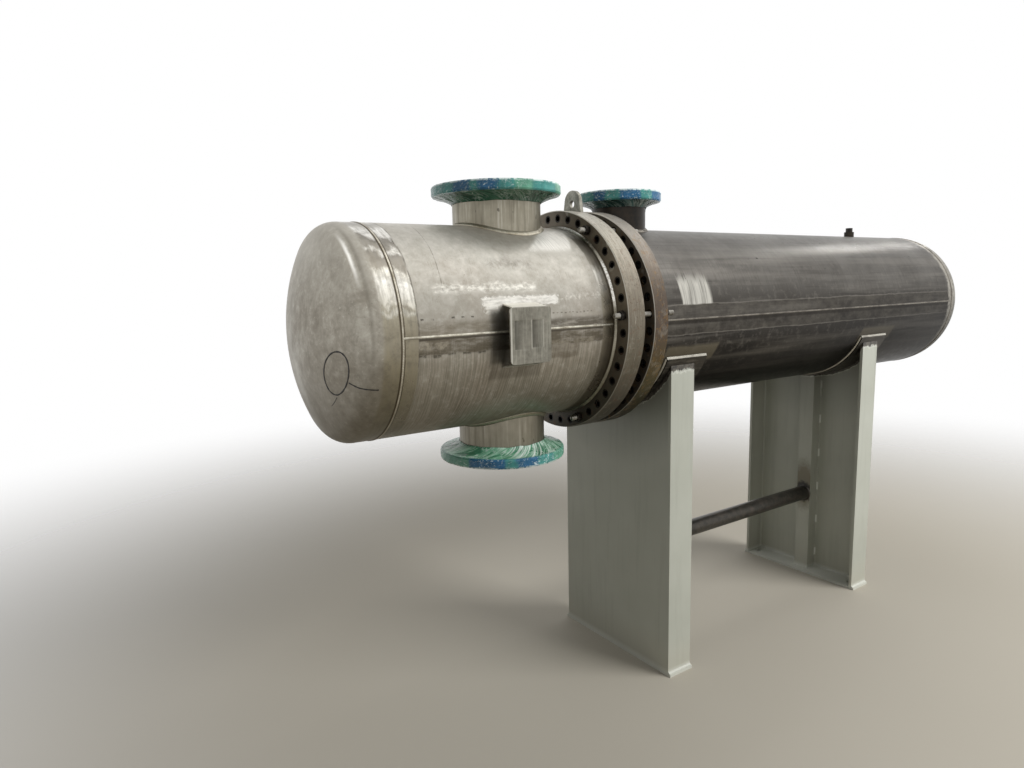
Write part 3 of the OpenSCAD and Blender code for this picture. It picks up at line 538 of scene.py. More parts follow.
def mill_plate(base):
    """Rolled carbon steel plate with mill scale, wiped and ground: dark warm grey that deepens to near black
    towards the bottom as painted shade, a painted shadow under the seam, ground zones beside the seam, the
    rear weld and the wear plates, faint marks round the barrel."""
    material, add, place = new_material("rolled carbon steel plate")
    x, y, h = axes(add, place)
    round_marks = streaks(add, place, (120, 4, 4), 4, 0.6, turn=(0, 0.02, 0))
    along = streaks(add, place, (0.9, 18, 18), 4, 0.6)
    cloud = add("TexNoise", place, 3.6, 5, 0.6, None, 0.4)
    mottle = add("TexNoise", place, 34, 5, 0.68)
    near = smooth_band(add, y, -1.0, -0.15, 0.03)
    # painted shade: near black at the bottom, lightening towards the top
    deep = by_height(add, h, (-0.40, "#0b0a09"), (-0.26, "#0c0b0a"), (-0.17, "#131110"), (-0.09, "#1f1d1b"),
                     (-0.02, "#2c2a27"), (0.05, "#413e3a"), (0.13, "#6a6762"), (0.21, "#6e6b66"),
                     (0.27, "#7c7974"), (0.36, "#8c8983"))
    colour = add("Mix", 0.92, base, deep, data_type="RGBA")
    colour = layered(add, colour,
        (0.48, "#44403b", add("MapRange", cloud, 0.38, 0.62)),
        (0.36, "#948f87", add("MapRange", along, 0.46, 0.66)),
        (0.30, "#45413c", add("MapRange", round_marks, 0.50, 0.70)),
        (0.30, "#8d8880", add("MapRange", mottle, 0.52, 0.70)),
        (0.30, "#35312d", add("MapRange", streaks(add, place, (1.6, 60, 60), 4, 0.7), 0.56, 0.68)))
    ragged = shifted(add, 0.0, streaks(add, place, (10, 10, 40), 4, 0.6), 0.016)
    hr = add("Math", h, ragged, operation="ADD")
    # ground zone 55 mm either side of the seam, with a faint light edge
    zone = add("Math", smooth_band(add, hr, -0.058, 0.054, 0.004), near, operation="MULTIPLY")
    zone_mottle = add("MapRange", streaks(add, place, (13, 26, 26), 5, 0.7), 0.34, 0.66)
    colour = layered(add, colour,
                     (0.45, add("Mix", zone_mottle, linear("#68635a"), linear("#322e2a"), data_type="RGBA"),
                      zone))
    line = add("Math", smooth_band(add, hr, 0.053, 0.057, 0.002), smooth_band(add, hr, -0.062, -0.058, 0.002),
               operation="ADD")
    colour = layered(add, colour,
        (0.28, "#a8a298", line, near),
        # painted shadow just under the seam bead
        (0.6, "#25211d", smooth_band(add, h, -0.018, -0.004, 0.004), near))
    # one bright ground patch on the near side, upper left: its lower edge sharp, its top brushed away
    lean = shifted(add, add("Math", h, 0.10, x, operation="MULTIPLY_ADD"), round_marks, 0.035)
    brushed = shifted(add, h, round_marks, 0.09)
    patch = add("Math", smooth_band(add, lean, -0.466, -0.300, 0.007),
                smooth_band(add, hr, 0.055, 0.30, 0.003), operation="MULTIPLY")
    patch = add("Math", add("Math", patch, near, operation="MULTIPLY"),
                smooth_band(add, brushed, 0.0, 0.158, 0.022), operation="MULTIPLY")
    colour = layered(add, colour,
                     (0.92, "#cfccc2", patch, add("MapRange", round_marks, 0.36, 0.58, 0.30, 1.0)))
    # ground collar at the rear weld and above the wear plates
    frayed = shifted(add, x, mottle, 0.05)
    rear = smooth_band(add, frayed, SHELL_END - 0.035, SHELL_END + 0.070, 0.012)
    head = smooth_band(add, frayed, SHELL_END + 0.070, SHELL_END + 1.0, 0.012)
    colour = layered(add, colour,
        (0.50, "#8d877b", head),
        (0.8, "#c6c1b5", rear, add("MapRange", mottle, 0.36, 0.6, 0.45, 1.0)))
    for node in ("front_wear_plate", "rear_wear_plate"):
        low, high = box(node)
        top = high[2] - AXIS_Z
        lean = add("Math", h, -0.35, x, operation="MULTIPLY_ADD")
        pad = window(add, lean, hr, low[0] + 0.03, high[0] + 0.10, top - 0.02, top + 0.045,
                     0.008, near)
        colour = layered(add, colour, (0.62, "#807969", pad))
    # painted shade: darker again towards the bottom, and on the lower half of the rear end
    low = add("MapRange", h, -0.08, -0.30)
    colour = layered(add, colour, (0.80, "#0b0a09", low))
    rear_low = add("Math", add("MapRange", x, 0.25, 1.15), add("MapRange", h, 0.06, -0.10),
                   operation="MULTIPLY")
    colour = layered(add, colour, (0.50, "#1b1815", rear_low))
    rough = add("MapRange", mottle, 0.3, 0.7, 0.27, 0.38)
    height = add("Math", mottle, 0.03, add("TexNoise", place, 3.5, 2, 0.4), operation="MULTIPLY_ADD")
    add("OutputMaterial",
        shade(add, colour, 0.90, rough, height, 0.003,
              **{"Specular Tint": (0.7, 0.7, 0.7, 1.0), "Specular IOR Level": 0.3}))
    return material


def dark_steel(name, base, rust, metallic=0.7, rough=0.5):
    """Steel with mill scale and oil: near black with brown bloom."""
    material, add, place = new_material(name)
    bloom = add("TexNoise", place, 28, 5, 0.68)
    grit = add("TexNoise", place, 260, 2, 0.6)
    colour = add("Mix", add("MapRange", bloom, 0.40, 0.72), base, rust, data_type="RGBA")
    add("OutputMaterial",
        shade(add, colour, metallic, add("MapRange", bloom, None, None, rough - 0.1, rough + 0.15), grit,
              0.0002))
    return material


def saddle_enamel(base):
    """Grey enamel sprayed on plate: slight orange peel, dust low down, base plates lighter as painted light,
    a painted shadow of the vessel on the webs, bare scorched steel near the wear plate."""
    material, add, place = new_material("grey enamel on plate")
    x, y, z = add("SeparateXYZ", place).node.outputs
    peel = add("TexNoise", place, 420, 2, 0.5)
    cloud = add("TexNoise", place, 3.2, 4, 0.55)
    run = streaks(add, place, (30, 30, 2.2), 4, 0.6)
    chip = add("TexNoise", place, 75, 4, 0.7)
    colour = layered(add, base,
        (0.5, "#a3a598", add("MapRange", cloud, 0.3, 0.75)),
        (0.25, "#86877b", add("MapRange", run, 0.52, 0.78)),
        (0.7, "#4a4841", add("MapRange", chip, 0.74, 0.77)))
    dust = add("MapRange", add("Math", cloud, 0.10, z, operation="MULTIPLY_ADD"), 0.03, 0.22, 0.35, 0.0)
    colour = layered(add, colour, (1.0, "#b9b09c", dust))
    # painted light: the base plates lighter
    pale = add("MapRange", z, 0.034, 0.016)
    colour = layered(add, colour, (0.60, "#dcded6", pale))
    # stitch welds where the ribs stand on the webs, 45 mm long and 190 mm apart
    front, rear = box("front_web")[1, 0], box("rear_web")[0, 0]
    between = add("Math", smooth_band(add, x, front - 0.0004, front + 0.005, 0.0002),
                  smooth_band(add, x, rear - 0.005, rear + 0.0004, 0.0002), operation="ADD")
    beside = add("Math", add("Math", y, operation="ABSOLUTE"), box("rear_rib")[1, 1],
                 operation="SUBTRACT")
    stitch = window(add, beside, add("Math", z, 0.095, operation="PINGPONG"), -0.001, 0.0075, 0.073, 0.2,
                    0.0012, between)
    colour = layered(add, colour, (0.80, "#eef0e8", stitch))
    # paint burnt by the welding of the brace pipe: a brown haze that rises up the rib, and a ragged ring of
    # soot
    low, high = box("brace_pipe")
    ribs = add("Math", smooth_band(add, x, low[0] - 0.001, low[0] + 0.001, 0.0002),
               smooth_band(add, x, high[0] - 0.001, high[0] + 0.001, 0.0002), operation="ADD")
    pipe_r = (high[2] - low[2]) / 2
    lift = add("Math", z, (high[2] + low[2]) / 2, operation="SUBTRACT")
    frayed = shifted(add, 0.0, add("TexNoise", place, 60, 4, 0.7), 0.030)
    for rise, share, outer, inner, strength, tint in ((0.045, 0.45, 0.034, 0.004, 0.70, "#6a5d43"),
                                                      (0.006, 0.85, 0.016, 0.003, 0.92, "#1d1b18")):
        above = add("Math", add("Math", lift, rise, operation="SUBTRACT"), share, operation="MULTIPLY")
        reach = distance(add, y, above)
        burnt = add("MapRange", add("Math", reach, frayed, operation="ADD"), pipe_r + outer, pipe_r + inner)
        colour = layered(add, colour, (strength, tint, burnt, ribs))
    # bare edge: within 8 to 20 mm of the wear plate the paint stops in a ragged line
    h = add("Math", z, AXIS_Z, operation="SUBTRACT")
    radius = distance(add, y, h)
    edge = shifted(add, radius, add("TexNoise", place, 45, 4, 0.7), 0.022)
    bare = add("MapRange", edge, SHELL_R + 0.025, SHELL_R + 0.020)
    # painted shadow of the vessel on the webs: darker within 300 mm of the shell, between the near and far
    # plates
    smoked = add("MapRange", add("Math", cloud, 0.05, radius, operation="MULTIPLY_ADD"), SHELL_R + 0.30,
                 SHELL_R + 0.03)
    smoked = add("Math", smoked,
                 add("Math", add("Math", y, operation="ABSOLUTE"),
                     box("front_web")[1, 1] + 0.0001, operation="LESS_THAN"),
                 operation="MULTIPLY")
    colour = layered(add, colour, (0.62, "#5f6057", smoked))
    lip = smooth_band(add, edge, SHELL_R + 0.022, SHELL_R + 0.0265, 0.0012)
    steel = add("Mix", add("MapRange", chip, 0.35, 0.68), linear("#282521"), linear("#6a655b"),
                data_type="RGBA")
    colour = add("Mix", bare, colour, steel, data_type="RGBA")
    colour = layered(add, colour, (0.7, "#d9dad0", lip, add("MapRange", chip, 0.40, 0.58, 0.2, 1.0)))
    rough = add("MapRange", cloud, None, None, 0.38, 0.52)
    add("OutputMaterial", shade(add, colour, 0.0, rough, peel, 0.00012, **{"IOR": 1.5}))
    return material


def scorched_steel():
    """Bare steel wear plate, heat marked: dark grey with brown and bluish bands near its edges, bright
    ground edge."""
    material, add, place = new_material("heat marked steel plate")
    cloud = add("TexNoise", place, 10, 5, 0.65, None, 0.5)
    scratch = streaks(add, place, (8, 60, 60), 4, 0.65)
    colour = add("Mix", add("MapRange", cloud, 0.30, 0.70), linear("#46423b"), linear("#2c2823"),
                 data_type="RGBA")
    colour = layered(add, colour,
        (0.5, "#8d867a", add("MapRange", scratch, 0.5, 0.75)),
        (0.35, "#4a3a2c", add("MapRange", add("TexNoise", place, 17, 3, 0.55), 0.55, 0.72)))
    add("OutputMaterial", shade(add, colour, 0.8, 0.42, cloud, 0.0006))
    return material


def stretch_film(name, centre, edge, tones, cone, haze):
    """Tinted stretch film in several layers: glossy, in blocks of tint along the rim where layers overlap,
    pulled into folds that run in towards the neck, with painted shade in the folds' hollows and painted
    highlights: thin white crinkles, a white line along the rim, white streaks and glints. centre is the
    nozzle's X, edge the disc's height from the vessel's axis, tones the start of each block as a share of a
    turn and its tint, cone the colour on the cone, its radius and how strong the painted highlights on its
    folds are."""
    material, add, place = new_material(name)
    x, y, z = add("SeparateXYZ", place).node.outputs
    dx = add("Math", x, centre, operation="SUBTRACT")
    r = distance(add, dx, y)
    c, s = (add("Math", way, add("Math", r, 0.0001, operation="ADD"), operation="DIVIDE") for way in (dx, y))
    # the same direction turned by 5 radians a metre of r, so that the folds run aslant
    turned = add("Math", r, 5.0, operation="MULTIPLY")
    ct, st = add("Math", turned, operation="COSINE"), add("Math", turned, operation="SINE")
    c2 = add("Math", add("Math", c, ct, operation="MULTIPLY"), add("Math", s, st, operation="MULTIPLY"),
             operation="SUBTRACT")
    s2 = add("Math", c, st, add("Math", s, ct, operation="MULTIPLY"), operation="MULTIPLY_ADD")
    wound = add("CombineXYZ", c2, s2, r)
    around = add("Math", y, dx, operation="ARCTAN2")
    around = add("Math", around, 0.5 / math.pi, 0.485, operation="MULTIPLY_ADD")
    around = add("Math", add("TexNoise", place, 24, 3, 0.6), 0.03, around, operation="MULTIPLY_ADD")
    blocks = [stop for (at, tint), (_, before) in zip(tones, tones[-1:] + tones[:-1])
              for stop in ((max(at - 0.005, 0.0), before), (at + 0.005, tint))]
    folds = add("TexNoise", add("Mapping", wound, None, None, (6.0, 6.0, 12.0)), 1.0, 4, 0.58, None, 0.6)
    patch = add("TexNoise", place, 13, 3, 0.6)
    # crinkles, painted highlights: thin lines where a noise passes its middle value
    ridge = add("Math",
                add("Math", streaks(add, place, (15, 15, 26), 4, 0.6, turn=(0.3, 0.2, 0), warp=0.8), 0.5,
                    operation="SUBTRACT"), operation="ABSOLUTE")
    crease = add("Math", add("Math", folds, 0.5, operation="SUBTRACT"), operation="ABSOLUTE")
    white = add("Math", add("MapRange", ridge, 0.014, 0.0), add("MapRange", patch, 0.46, 0.60),
                operation="MULTIPLY")
    streak = add("Math", add("MapRange", crease, 0.026, 0.0), add("MapRange", patch, 0.36, 0.52, 0.25, 1.0),
                 operation="MULTIPLY")
    on_cone = smooth_band(add, r, -1.0, cone[1], 0.006)
    colour = add("ValToRGB", around, stops=blocks)
    colour = layered(add, colour,
        (0.32, "#123a3c", add("MapRange", add("TexNoise", place, 30, 4, 0.6), 0.38, 0.62)),
        (0.92, cone[0], on_cone),
        # painted shade in the folds' hollows on the cone and painted highlights on their ridges
        (0.60, "#14382b", on_cone, add("MapRange", folds, 0.50, 0.36)),
        (0.25 + 0.35 * cone[2], haze, on_cone, add("MapRange", folds, 0.52, 0.66)))
    # painted highlights: a white line along the rim's top edge and white streaks along the cone's creases
    away = add("Math", add("Math", z, AXIS_Z, operation="SUBTRACT"), operation="ABSOLUTE")
    lip = smooth_band(add, away, edge - 0.006, edge + 0.01, 0.003)
    off_cone = add("Math", 1.0, on_cone, operation="SUBTRACT")
    colour = layered(add, colour,
        (0.85, "#e2efe9", lip, add("MapRange", add("TexNoise", place, 48, 3, 0.7), 0.42, 0.52), off_cone),
        (0.25 + 0.60 * cone[2], "#e4f3ea", on_cone, streak))
    # light caught by the folds in front: white streaks that cross each other
    fan = add("TexNoise", add("Mapping", wound, None, None, (15.0, 15.0, 9.0)), 1.0, 5, 0.62, None, 0.9)
    caught = window(add, dx, y, -0.085, 0.105, -1.0, -0.09, 0.05, on_cone, add("MapRange", fan, 0.44, 0.60))
    colour = layered(add, colour,
        (0.85 * cone[2], "#eefaf2", caught),
        # painted highlights along the crinkles
        (0.75, "#e4f3ea", white, add("Math", on_cone, 0.6, 0.4, operation="MULTIPLY_ADD")))
    # painted glints on the rim and the disc
    sparkle = add("Math", add("MapRange", streaks(add, place, (95, 95, 150), 4, 0.72, warp=0.5), 0.56, 0.63),
                  add("MapRange", add("TexNoise", place, 10, 2, 0.55), 0.44, 0.56, 0.15, 1.0),
                  operation="MULTIPLY")
    colour = layered(add, colour, (0.72, "#dcecea", sparkle, off_cone))
    add("OutputMaterial",
        shade(add, colour, 0.0, 0.26, add("Math", ridge, 0.5, folds, operation="MULTIPLY_ADD"), 0.004,
              **{"IOR": 1.5, "Specular IOR Level": 0.35}))
    return material


def sheet_metal(name, node, base):
    """Cold rolled sheet, dull: even grey with faint upright streaks. The bracket gets a painted highlight
    along its left, bottom and top edges, bracket and plate get painted light near the top behind the front,
    and the plate's two recesses get painted shade with a painted highlight along their right edge."""
    material, add, place = new_material(name)
    x, y, h = axes(add, place)
    low, high = box(node)
    streak = streaks(add, place, (110, 110, 9), 4, 0.65)
    cloud = add("TexNoise", place, 38, 5, 0.68)
    colour = layered(add, base,
        (1.0, "#6e6b60", add("MapRange", cloud, 0.34, 0.66)),
        (0.40, "#a9a79a", add("MapRange", streak, 0.46, 0.64)))
    if node != "lifting_lug":
        foot, head = low[2] - AXIS_Z, high[2] - AXIS_Z
        if node == "nameplate_bracket":
            # painted highlight along the bracket's left, bottom and top edges
            rim = window(add, x, h, low[0] + 0.006, high[0] + 1.0, foot + 0.008, head - 0.012, 0.002)
            colour = layered(add, colour, (0.70, "#cfccc0", add("Math", 1.0, rim, operation="SUBTRACT")))
        # painted light near the top, behind the front
        top_edge = add("Math", h, head - 0.030, operation="GREATER_THAN")
        behind = add("Math", y, low[1] + 0.0045, operation="GREATER_THAN")
        colour = layered(add, colour, (0.75, "#efece2", top_edge, behind))
        # painted shade in the recesses, and a painted highlight along their right edge
        for left, right, dark_to, bottom, top in GREASE:
            across = add("Math", x, BRACKET_LEFT, operation="SUBTRACT")
            grease = add("MapRange", across, left, dark_to, 1.0, 0.15)
            colour = layered(add, colour,
                (0.78, "#45423a", window(add, across, h, left, right, bottom, top, 0.0015, grease)),
                (0.45, "#b5b2a6", window(add, across, h, right, right + 0.005, bottom, top, 0.0015)))
    add("OutputMaterial", shade(add, colour, 0.6, 0.40, streak, 0.0002))
    return material


def ink(name, colour):
    """Paint marker line on the head: flat, slightly worn."""
    material, add, place = new_material(name)
    wear = add("TexNoise", place, 180, 3, 0.6)
    add("OutputMaterial",
        shade(add, layered(add, colour, (1.0, "#5b564c", add("MapRange", wear, 0.5, 0.75))), 0.0, 0.6, wear,
              0.0001))
    return material


# Surfaces


def grid_faces(rows, columns, close_rows=False, close_columns=False, start=0):
    """Quads between neighbouring points of a rows by columns grid, joined round where asked."""
    index = np.arange(rows * columns).reshape(rows, columns) + start
    if close_rows:
        index = np.vstack([index, index[:1]])
    if close_columns:
        index = np.hstack([index, index[:, :1]])
    return np.stack([index[:-1, :-1], index[1:, :-1], index[1:, 1:], index[:-1, 1:]], -1).reshape(-1, 4)


def capped(points):
    """Adds a row at each end of a tube in which every point is the end's middle, so that the ends close in
    a pole."""
    first = np.broadcast_to(points[0].mean(0), points[0].shape)
    last = np.broadcast_to(points[-1].mean(0), points[-1].shape)
    return np.concatenate([first[None], points, last[None]])


def piece(name, grids, material, replaces=(), sharp=None):
    """Makes one mesh from grids, each (points, close rows, close columns), merges doubles, turns the faces
    outward and lets it ride on the part's body."""
    vertices, faces, start = [], [], 0
    for points, close_rows, close_columns in grids:
        rows, columns = points.shape[:2]
        vertices.append(points.reshape(-1, 3))
        faces.append(grid_faces(rows, columns, close_rows, close_columns, start))
        start += rows * columns
    mesh = bpy.data.meshes.new(name)
    mesh.from_pydata(np.concatenate(vertices), [], np.concatenate(faces))
    work = bmesh.new()
    work.from_mesh(mesh)
    bmesh.ops.remove_doubles(work, verts=work.verts, dist=2e-6)
    bmesh.ops.recalc_face_normals(work, faces=work.faces)
    for face in work.faces:
        face.smooth = True
    work.to_mesh(mesh)
    work.free()
    if sharp is not None:
        mesh.set_sharp_from_angle(angle=sharp)
    mesh.materials.append(material)
    made = bpy.data.objects.new(name, mesh)
    bpy.context.scene.collection.objects.link(made)
    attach(made, "root")
    if replaces:
        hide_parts(*replaces)
    return made


def unit(vectors):
    """Vectors of length 1 along the last axis."""
    return vectors / np.linalg.norm(vectors, axis=-1, keepdims=True)


def ring_path(x, radius, count):
    """Circle of points about the vessel's axis, with the outward direction at each."""
    turn = np.linspace(0, 2 * np.pi, count, endpoint=False)
    out = np.stack([np.zeros(count), np.cos(turn), np.sin(turn)], -1)
    return np.array([x, 0, AXIS_Z]) + radius * out, out


def lengths(path):
    """Distance run along a path at each of its points."""
    step = np.linalg.norm(np.diff(path, axis=0), axis=1)
    return np.concatenate([[0], np.cumsum(step)])


def ripple(run, across, pitch):
    """Crescent ripples of a weld: a cosine of the distance run, bent back with the square of the place
    across."""
    phase = 2 * np.pi * (run[:, None] / pitch + 0.40 * across[None, :] ** 2)
    return 0.5 + 0.5 * np.cos(phase) + 0.18 * np.sin(0.37 * phase + 1.3) * np.cos(0.11 * phase)


def bead(path, side, up, width, height, pitch, closed):
    """Butt weld: half an ellipse, width by height, carried along the path, with ripples; its flat back is
    sunk 0.4 mm."""
    across = np.linspace(-1, 1, 11)
    run = lengths(path)
    if closed:
        pitch = run[-1] / round(run[-1] / pitch)
    crown = np.sqrt(np.clip(1 - across**2, 0, 1))
    wobble = 1 + 0.05 * np.sin(run * 31.0) + 0.04 * np.sin(run * 77.0 + 1.0)
    rise = height * crown[None, :] * (0.78 + 0.22 * ripple(run, across, pitch)) * wobble[:, None]
    spread = width / 2 * across[None, :] * (1 + 0.03 * np.sin(run * 53.0))[:, None]
    top = path[:, None, :] + side[:, None, :] * spread[..., None] + up[:, None, :] * rise[..., None]
    back = np.stack([path + side * width * 0.46 - up * 0.0004, path - side * width * 0.46 - up * 0.0004], 1)
    grid = np.concatenate([top, back], 1)
    return (grid, True, True) if closed else (capped(grid), False, True)


def fillet(path, first, second, leg, pitch, closed, bulge=0.12):
    """Fillet weld in the corner that the path follows: the section runs from leg along the first direction
    to leg along the second, bulging a little, with ripples; its root is sunk 0.4 mm."""
    lean = np.linspace(0, np.pi / 2, 9)
    run = lengths(path)
    if closed:
        pitch = run[-1] / round(run[-1] / pitch)
    reach = 1 / (np.cos(lean) + np.sin(lean)) * (1 + bulge * np.sin(2 * lean))
    across = lean / (np.pi / 4) - 1
    reach = leg * reach[None, :] * (0.94 + 0.08 * ripple(run, across, pitch))
    reach = reach * (1 + 0.05 * np.sin(run * 43.0))[:, None]
    toe = (first[:, None, :] * np.cos(lean)[None, :, None] + second[:, None, :] * np.sin(lean)[None, :, None])
    section = path[:, None, :] + toe * reach[..., None]
    root = (path - (first + second) * 0.0004)[:, None, :]
    grid = np.concatenate([section, root], 1)
    return (grid, True, True) if closed else (capped(grid), False, True)


def straight(start, stop, count):
    """Evenly spaced points from start to stop."""
    return np.linspace(np.array(start, float), np.array(stop, float), count)


def constant(vector, count):
    """The same direction at each of count points."""
    return np.broadcast_to(unit(np.array(vector, float)), (count, 3))


def straight_fillet(start, stop, first, second, leg, count, pitch=0.011):
    """Fillet weld along a straight corner."""
    path = straight(start, stop, count)
    return fillet(path, constant(first, count), constant(second, count), leg, pitch, False)


def foot_path(x, neck_r, pipe_r, side, count):
    """Curve where an upright neck meets the barrel: the height at angle t is the root of pipe_r squared
    less the square of neck_r times sin t. Also gives the direction out along the barrel and the one up the
    neck."""
    turn = np.linspace(0, 2 * np.pi, count, endpoint=False)
    out = np.stack([np.cos(turn), np.sin(turn), np.zeros(count)], -1)
    y = neck_r * np.sin(turn)
    rise = np.sqrt(pipe_r**2 - y**2)
    path = np.stack([x + neck_r * np.cos(turn), y, AXIS_Z + side * rise], -1)
    normal = np.stack([np.zeros(count), y / pipe_r, side * rise / pipe_r], -1)
    along = unit(out - normal * (out * normal).sum(-1, keepdims=True))
    return path, along, constant((0, 0, side), count)


def creases(u, v, seed, waves, sharp=1.0):
    """Crumpled film: a sum of folded waves, each the absolute value of a sine whose direction over (u, v)
    comes from a seeded list, so that it makes sharp ridges; u must be an angle, as its wave numbers are
    whole."""
    random = np.random.default_rng(seed)
    total = np.zeros(np.broadcast(u, v).shape)
    for low, high, slope, share in waves:
        for _ in range(5):
            count = random.integers(low, high + 1)
            tilt = random.uniform(-slope, slope)
            phase = random.uniform(0, 2 * np.pi)
            bend = random.uniform(0.3, 1.1) * np.sin(random.integers(2, 6) * u + random.uniform(0, 6))
            fold = 1 - np.abs(np.sin(0.5 * count * u + tilt * v + phase + bend)) ** sharp
            total += share / 5 * fold
    return total


def film_cover(x, side, reach, rim_r, neck_r, thick, disc, fall, seed, crease, skirt=0.0):
    """Stretch film over a blanked flange, as a surface of turning angle u and of the distance v along its
    outline: flat over the disc, round the rim, then a pleated cone down to a gathered collar on the neck.
    Each point is pushed along its outline's normal by the creases; skirt lets the hem hang lower towards
    one side."""
    skin = 0.002
    outline = np.array([ (0.0, reach + disc), (rim_r * 0.35, reach + disc), (rim_r * 0.7, reach + disc),
                        (rim_r - 0.008, reach + disc), (rim_r - 0.001, reach + disc - 0.001),
                        (rim_r + skin, reach + disc - 0.006), (rim_r + skin, reach - thick * 0.5),
                        (rim_r + skin, reach - thick + 0.002), (rim_r - 0.002, reach - thick - skin - 0.002),
                        (neck_r + (rim_r - neck_r) * 0.6, reach - thick - fall * 0.40),
                        (neck_r + (rim_r - neck_r) * 0.25, reach - thick - fall * 0.74),
                        (neck_r + 0.006, reach - thick - fall * 0.93),
                        (neck_r + 0.0025, reach - thick - fall * 0.97),
                        (neck_r + 0.0018, reach - thick - fall - 0.003)])
    run = lengths(np.column_stack([outline, np.zeros(len(outline))]))
    fine = np.unique(np.concatenate([np.linspace(0, run[-1], 62), np.linspace(run[3], run[8], 30)]))
    r = np.interp(fine, run, outline[:, 0])
    z = np.interp(fine, run, outline[:, 1])
    slope = np.gradient(np.column_stack([r, z]), fine, axis=0)
    normal = unit(np.column_stack([-slope[:, 1], slope[:, 0]])) * -1
    u = np.linspace(0, 2 * np.pi, 340, endpoint=False)[None, :]
    v = fine[:, None]
    on_disc = np.clip((run[3] - v) / 0.02, 0, 1)
    on_rim = np.clip((v - run[3]) / 0.01, 0, 1) * np.clip((run[8] - v) / 0.01, 0, 1)
    on_cone = np.clip((v - run[7]) / 0.02, 0, 1) * np.clip((run[12] - v) / 0.02, 0, 1)
    middle = np.clip(v / 0.03, 0, 1)
    push = crease * (
        0.5 * on_disc * middle * creases(u, v, seed, [(8, 20, 30, 0.6), (20, 40, 50, 0.4)])
        + 1.0 * on_rim * creases(u, v, seed + 1, [(14, 34, 120, 0.6), (34, 60, 200, 0.4)])
        + 2.4 * on_cone * creases(u, v, seed + 2, [(9, 22, 45, 0.7), (22, 44, 80, 0.3)])
    )
    hem = np.clip((v - run[11]) / (run[13] - run[11]), 0, 1)
    hem = hem * (0.006 * (creases(u, v * 0, seed + 3, [(5, 11, 0, 1.0)]) - 0.5)
                 + skirt * np.exp(-(((u + 0.6) % (2 * np.pi)) / 0.75) ** 2))
    rr = r[:, None] + normal[:, :1] * push
    zz = z[:, None] + normal[:, 1:] * push - hem
    rr[0] = 0.0
    zz[0] = z[0]
    points = np.stack([x + rr * np.cos(u), rr * np.sin(u), AXIS_Z + side * zz], -1)
    # inner side, 0.6 mm below, so that the film is a closed skin
    inner_r = np.maximum(rr - normal[:, :1] * 0.0006, 0)
    inner_z = zz - normal[:, 1:] * 0.0006
    inner_r[0] = 0.0
    inner = np.stack([x + inner_r * np.cos(u), inner_r * np.sin(u), AXIS_Z + side * inner_z], -1)
    return np.concatenate([points, inner[::-1]])


def threaded_rod(x_start, x_stop, y, z, radius, pitch):
    """Screw thread: the radius is the rod's less a triangle wave of the place along it minus the turn, so
    the crest winds round once for each pitch; both ends run out to a 45 degree bevel."""
    per_turn = 4
    rows = int(round((x_stop - x_start) / pitch * per_turn))
    s = np.linspace(x_start, x_stop, rows)[:, None]
    turn = np.linspace(0, 2 * np.pi, 14, endpoint=False)[None, :]
    wave = np.abs(((s - x_start) / pitch - turn / (2 * np.pi)) % 1 * 2 - 1)
    end = np.minimum(s - x_start, x_stop - s)
    r = np.minimum(radius - 0.55 * pitch * wave, radius - 0.003 + end)
    points = np.stack([np.broadcast_to(s, r.shape), y + r * np.cos(turn), z + r * np.sin(turn)], -1)
    return capped(points), False, True


def hexagon_nut(x_start, x_stop, y, z, flats, bore, turn0):
    """Hexagon nut: across a face the radius is half the flats over the cosine of the angle from the face's
    middle, cut at both ends by a 30 degree cone; the section closes through the bore."""
    turn = np.linspace(0, 2 * np.pi, 72, endpoint=False) + turn0
    face = flats / 2 / np.cos((turn - turn0 + np.pi / 6) % (np.pi / 3) - np.pi / 6)
    s = np.array([0, 0.06, 0.14, 0.5, 0.86, 0.94, 1.0])
    depth = np.minimum(s, 1 - s) * (x_stop - x_start)
    cone = flats / 2 * 0.97 + depth / math.tan(math.radians(30))
    outer = np.minimum(face[None, :], cone[:, None])
    inner = np.full((2, len(turn)), bore)
    r = np.concatenate([inner[:1], outer, inner[1:]])
    place = np.concatenate([[x_start], x_start + s * (x_stop - x_start), [x_stop]])[:, None]
    points = np.stack([np.broadcast_to(place, r.shape), y + r * np.cos(turn), z + r * np.sin(turn)], -1)
    return points, True, True


def pressed_sheet():
    """Nameplate flush with the bracket's border and pressed into two recesses: the depth is 1.6 mm times a
    product of logistic steps across and up, and lessens from the left to the right of each recess."""
    across, up = np.linspace(0.0102, 0.1478, 120)[:, None], np.linspace(-0.0918, 0.0678, 120)[None, :]
    depth = 0
    for left, right, bottom, top, kept in RECESSES:
        steps = [1 / (1 + np.exp(-(across - left) / 0.0007)), 1 / (1 + np.exp((across - right) / 0.0007)),
                 1 / (1 + np.exp(-(up - bottom) / 0.0012)), 1 / (1 + np.exp((up - top) / 0.0016))]
        fall = 1 + (kept - 1) * np.clip((across - left) / (right - left), 0, 1)
        depth = depth + 0.0016 * fall * math.prod(steps)
    front = BRACKET_FRONT + 0.0002 + depth
    face = np.stack(np.broadcast_arrays(BRACKET_LEFT + across, front, AXIS_Z + up), -1)
    back = face.copy()
    back[..., 1] = BRACKET_FRONT + 0.0024
    return capped(np.concatenate([face, back[:, ::-1]], 1)), False, True


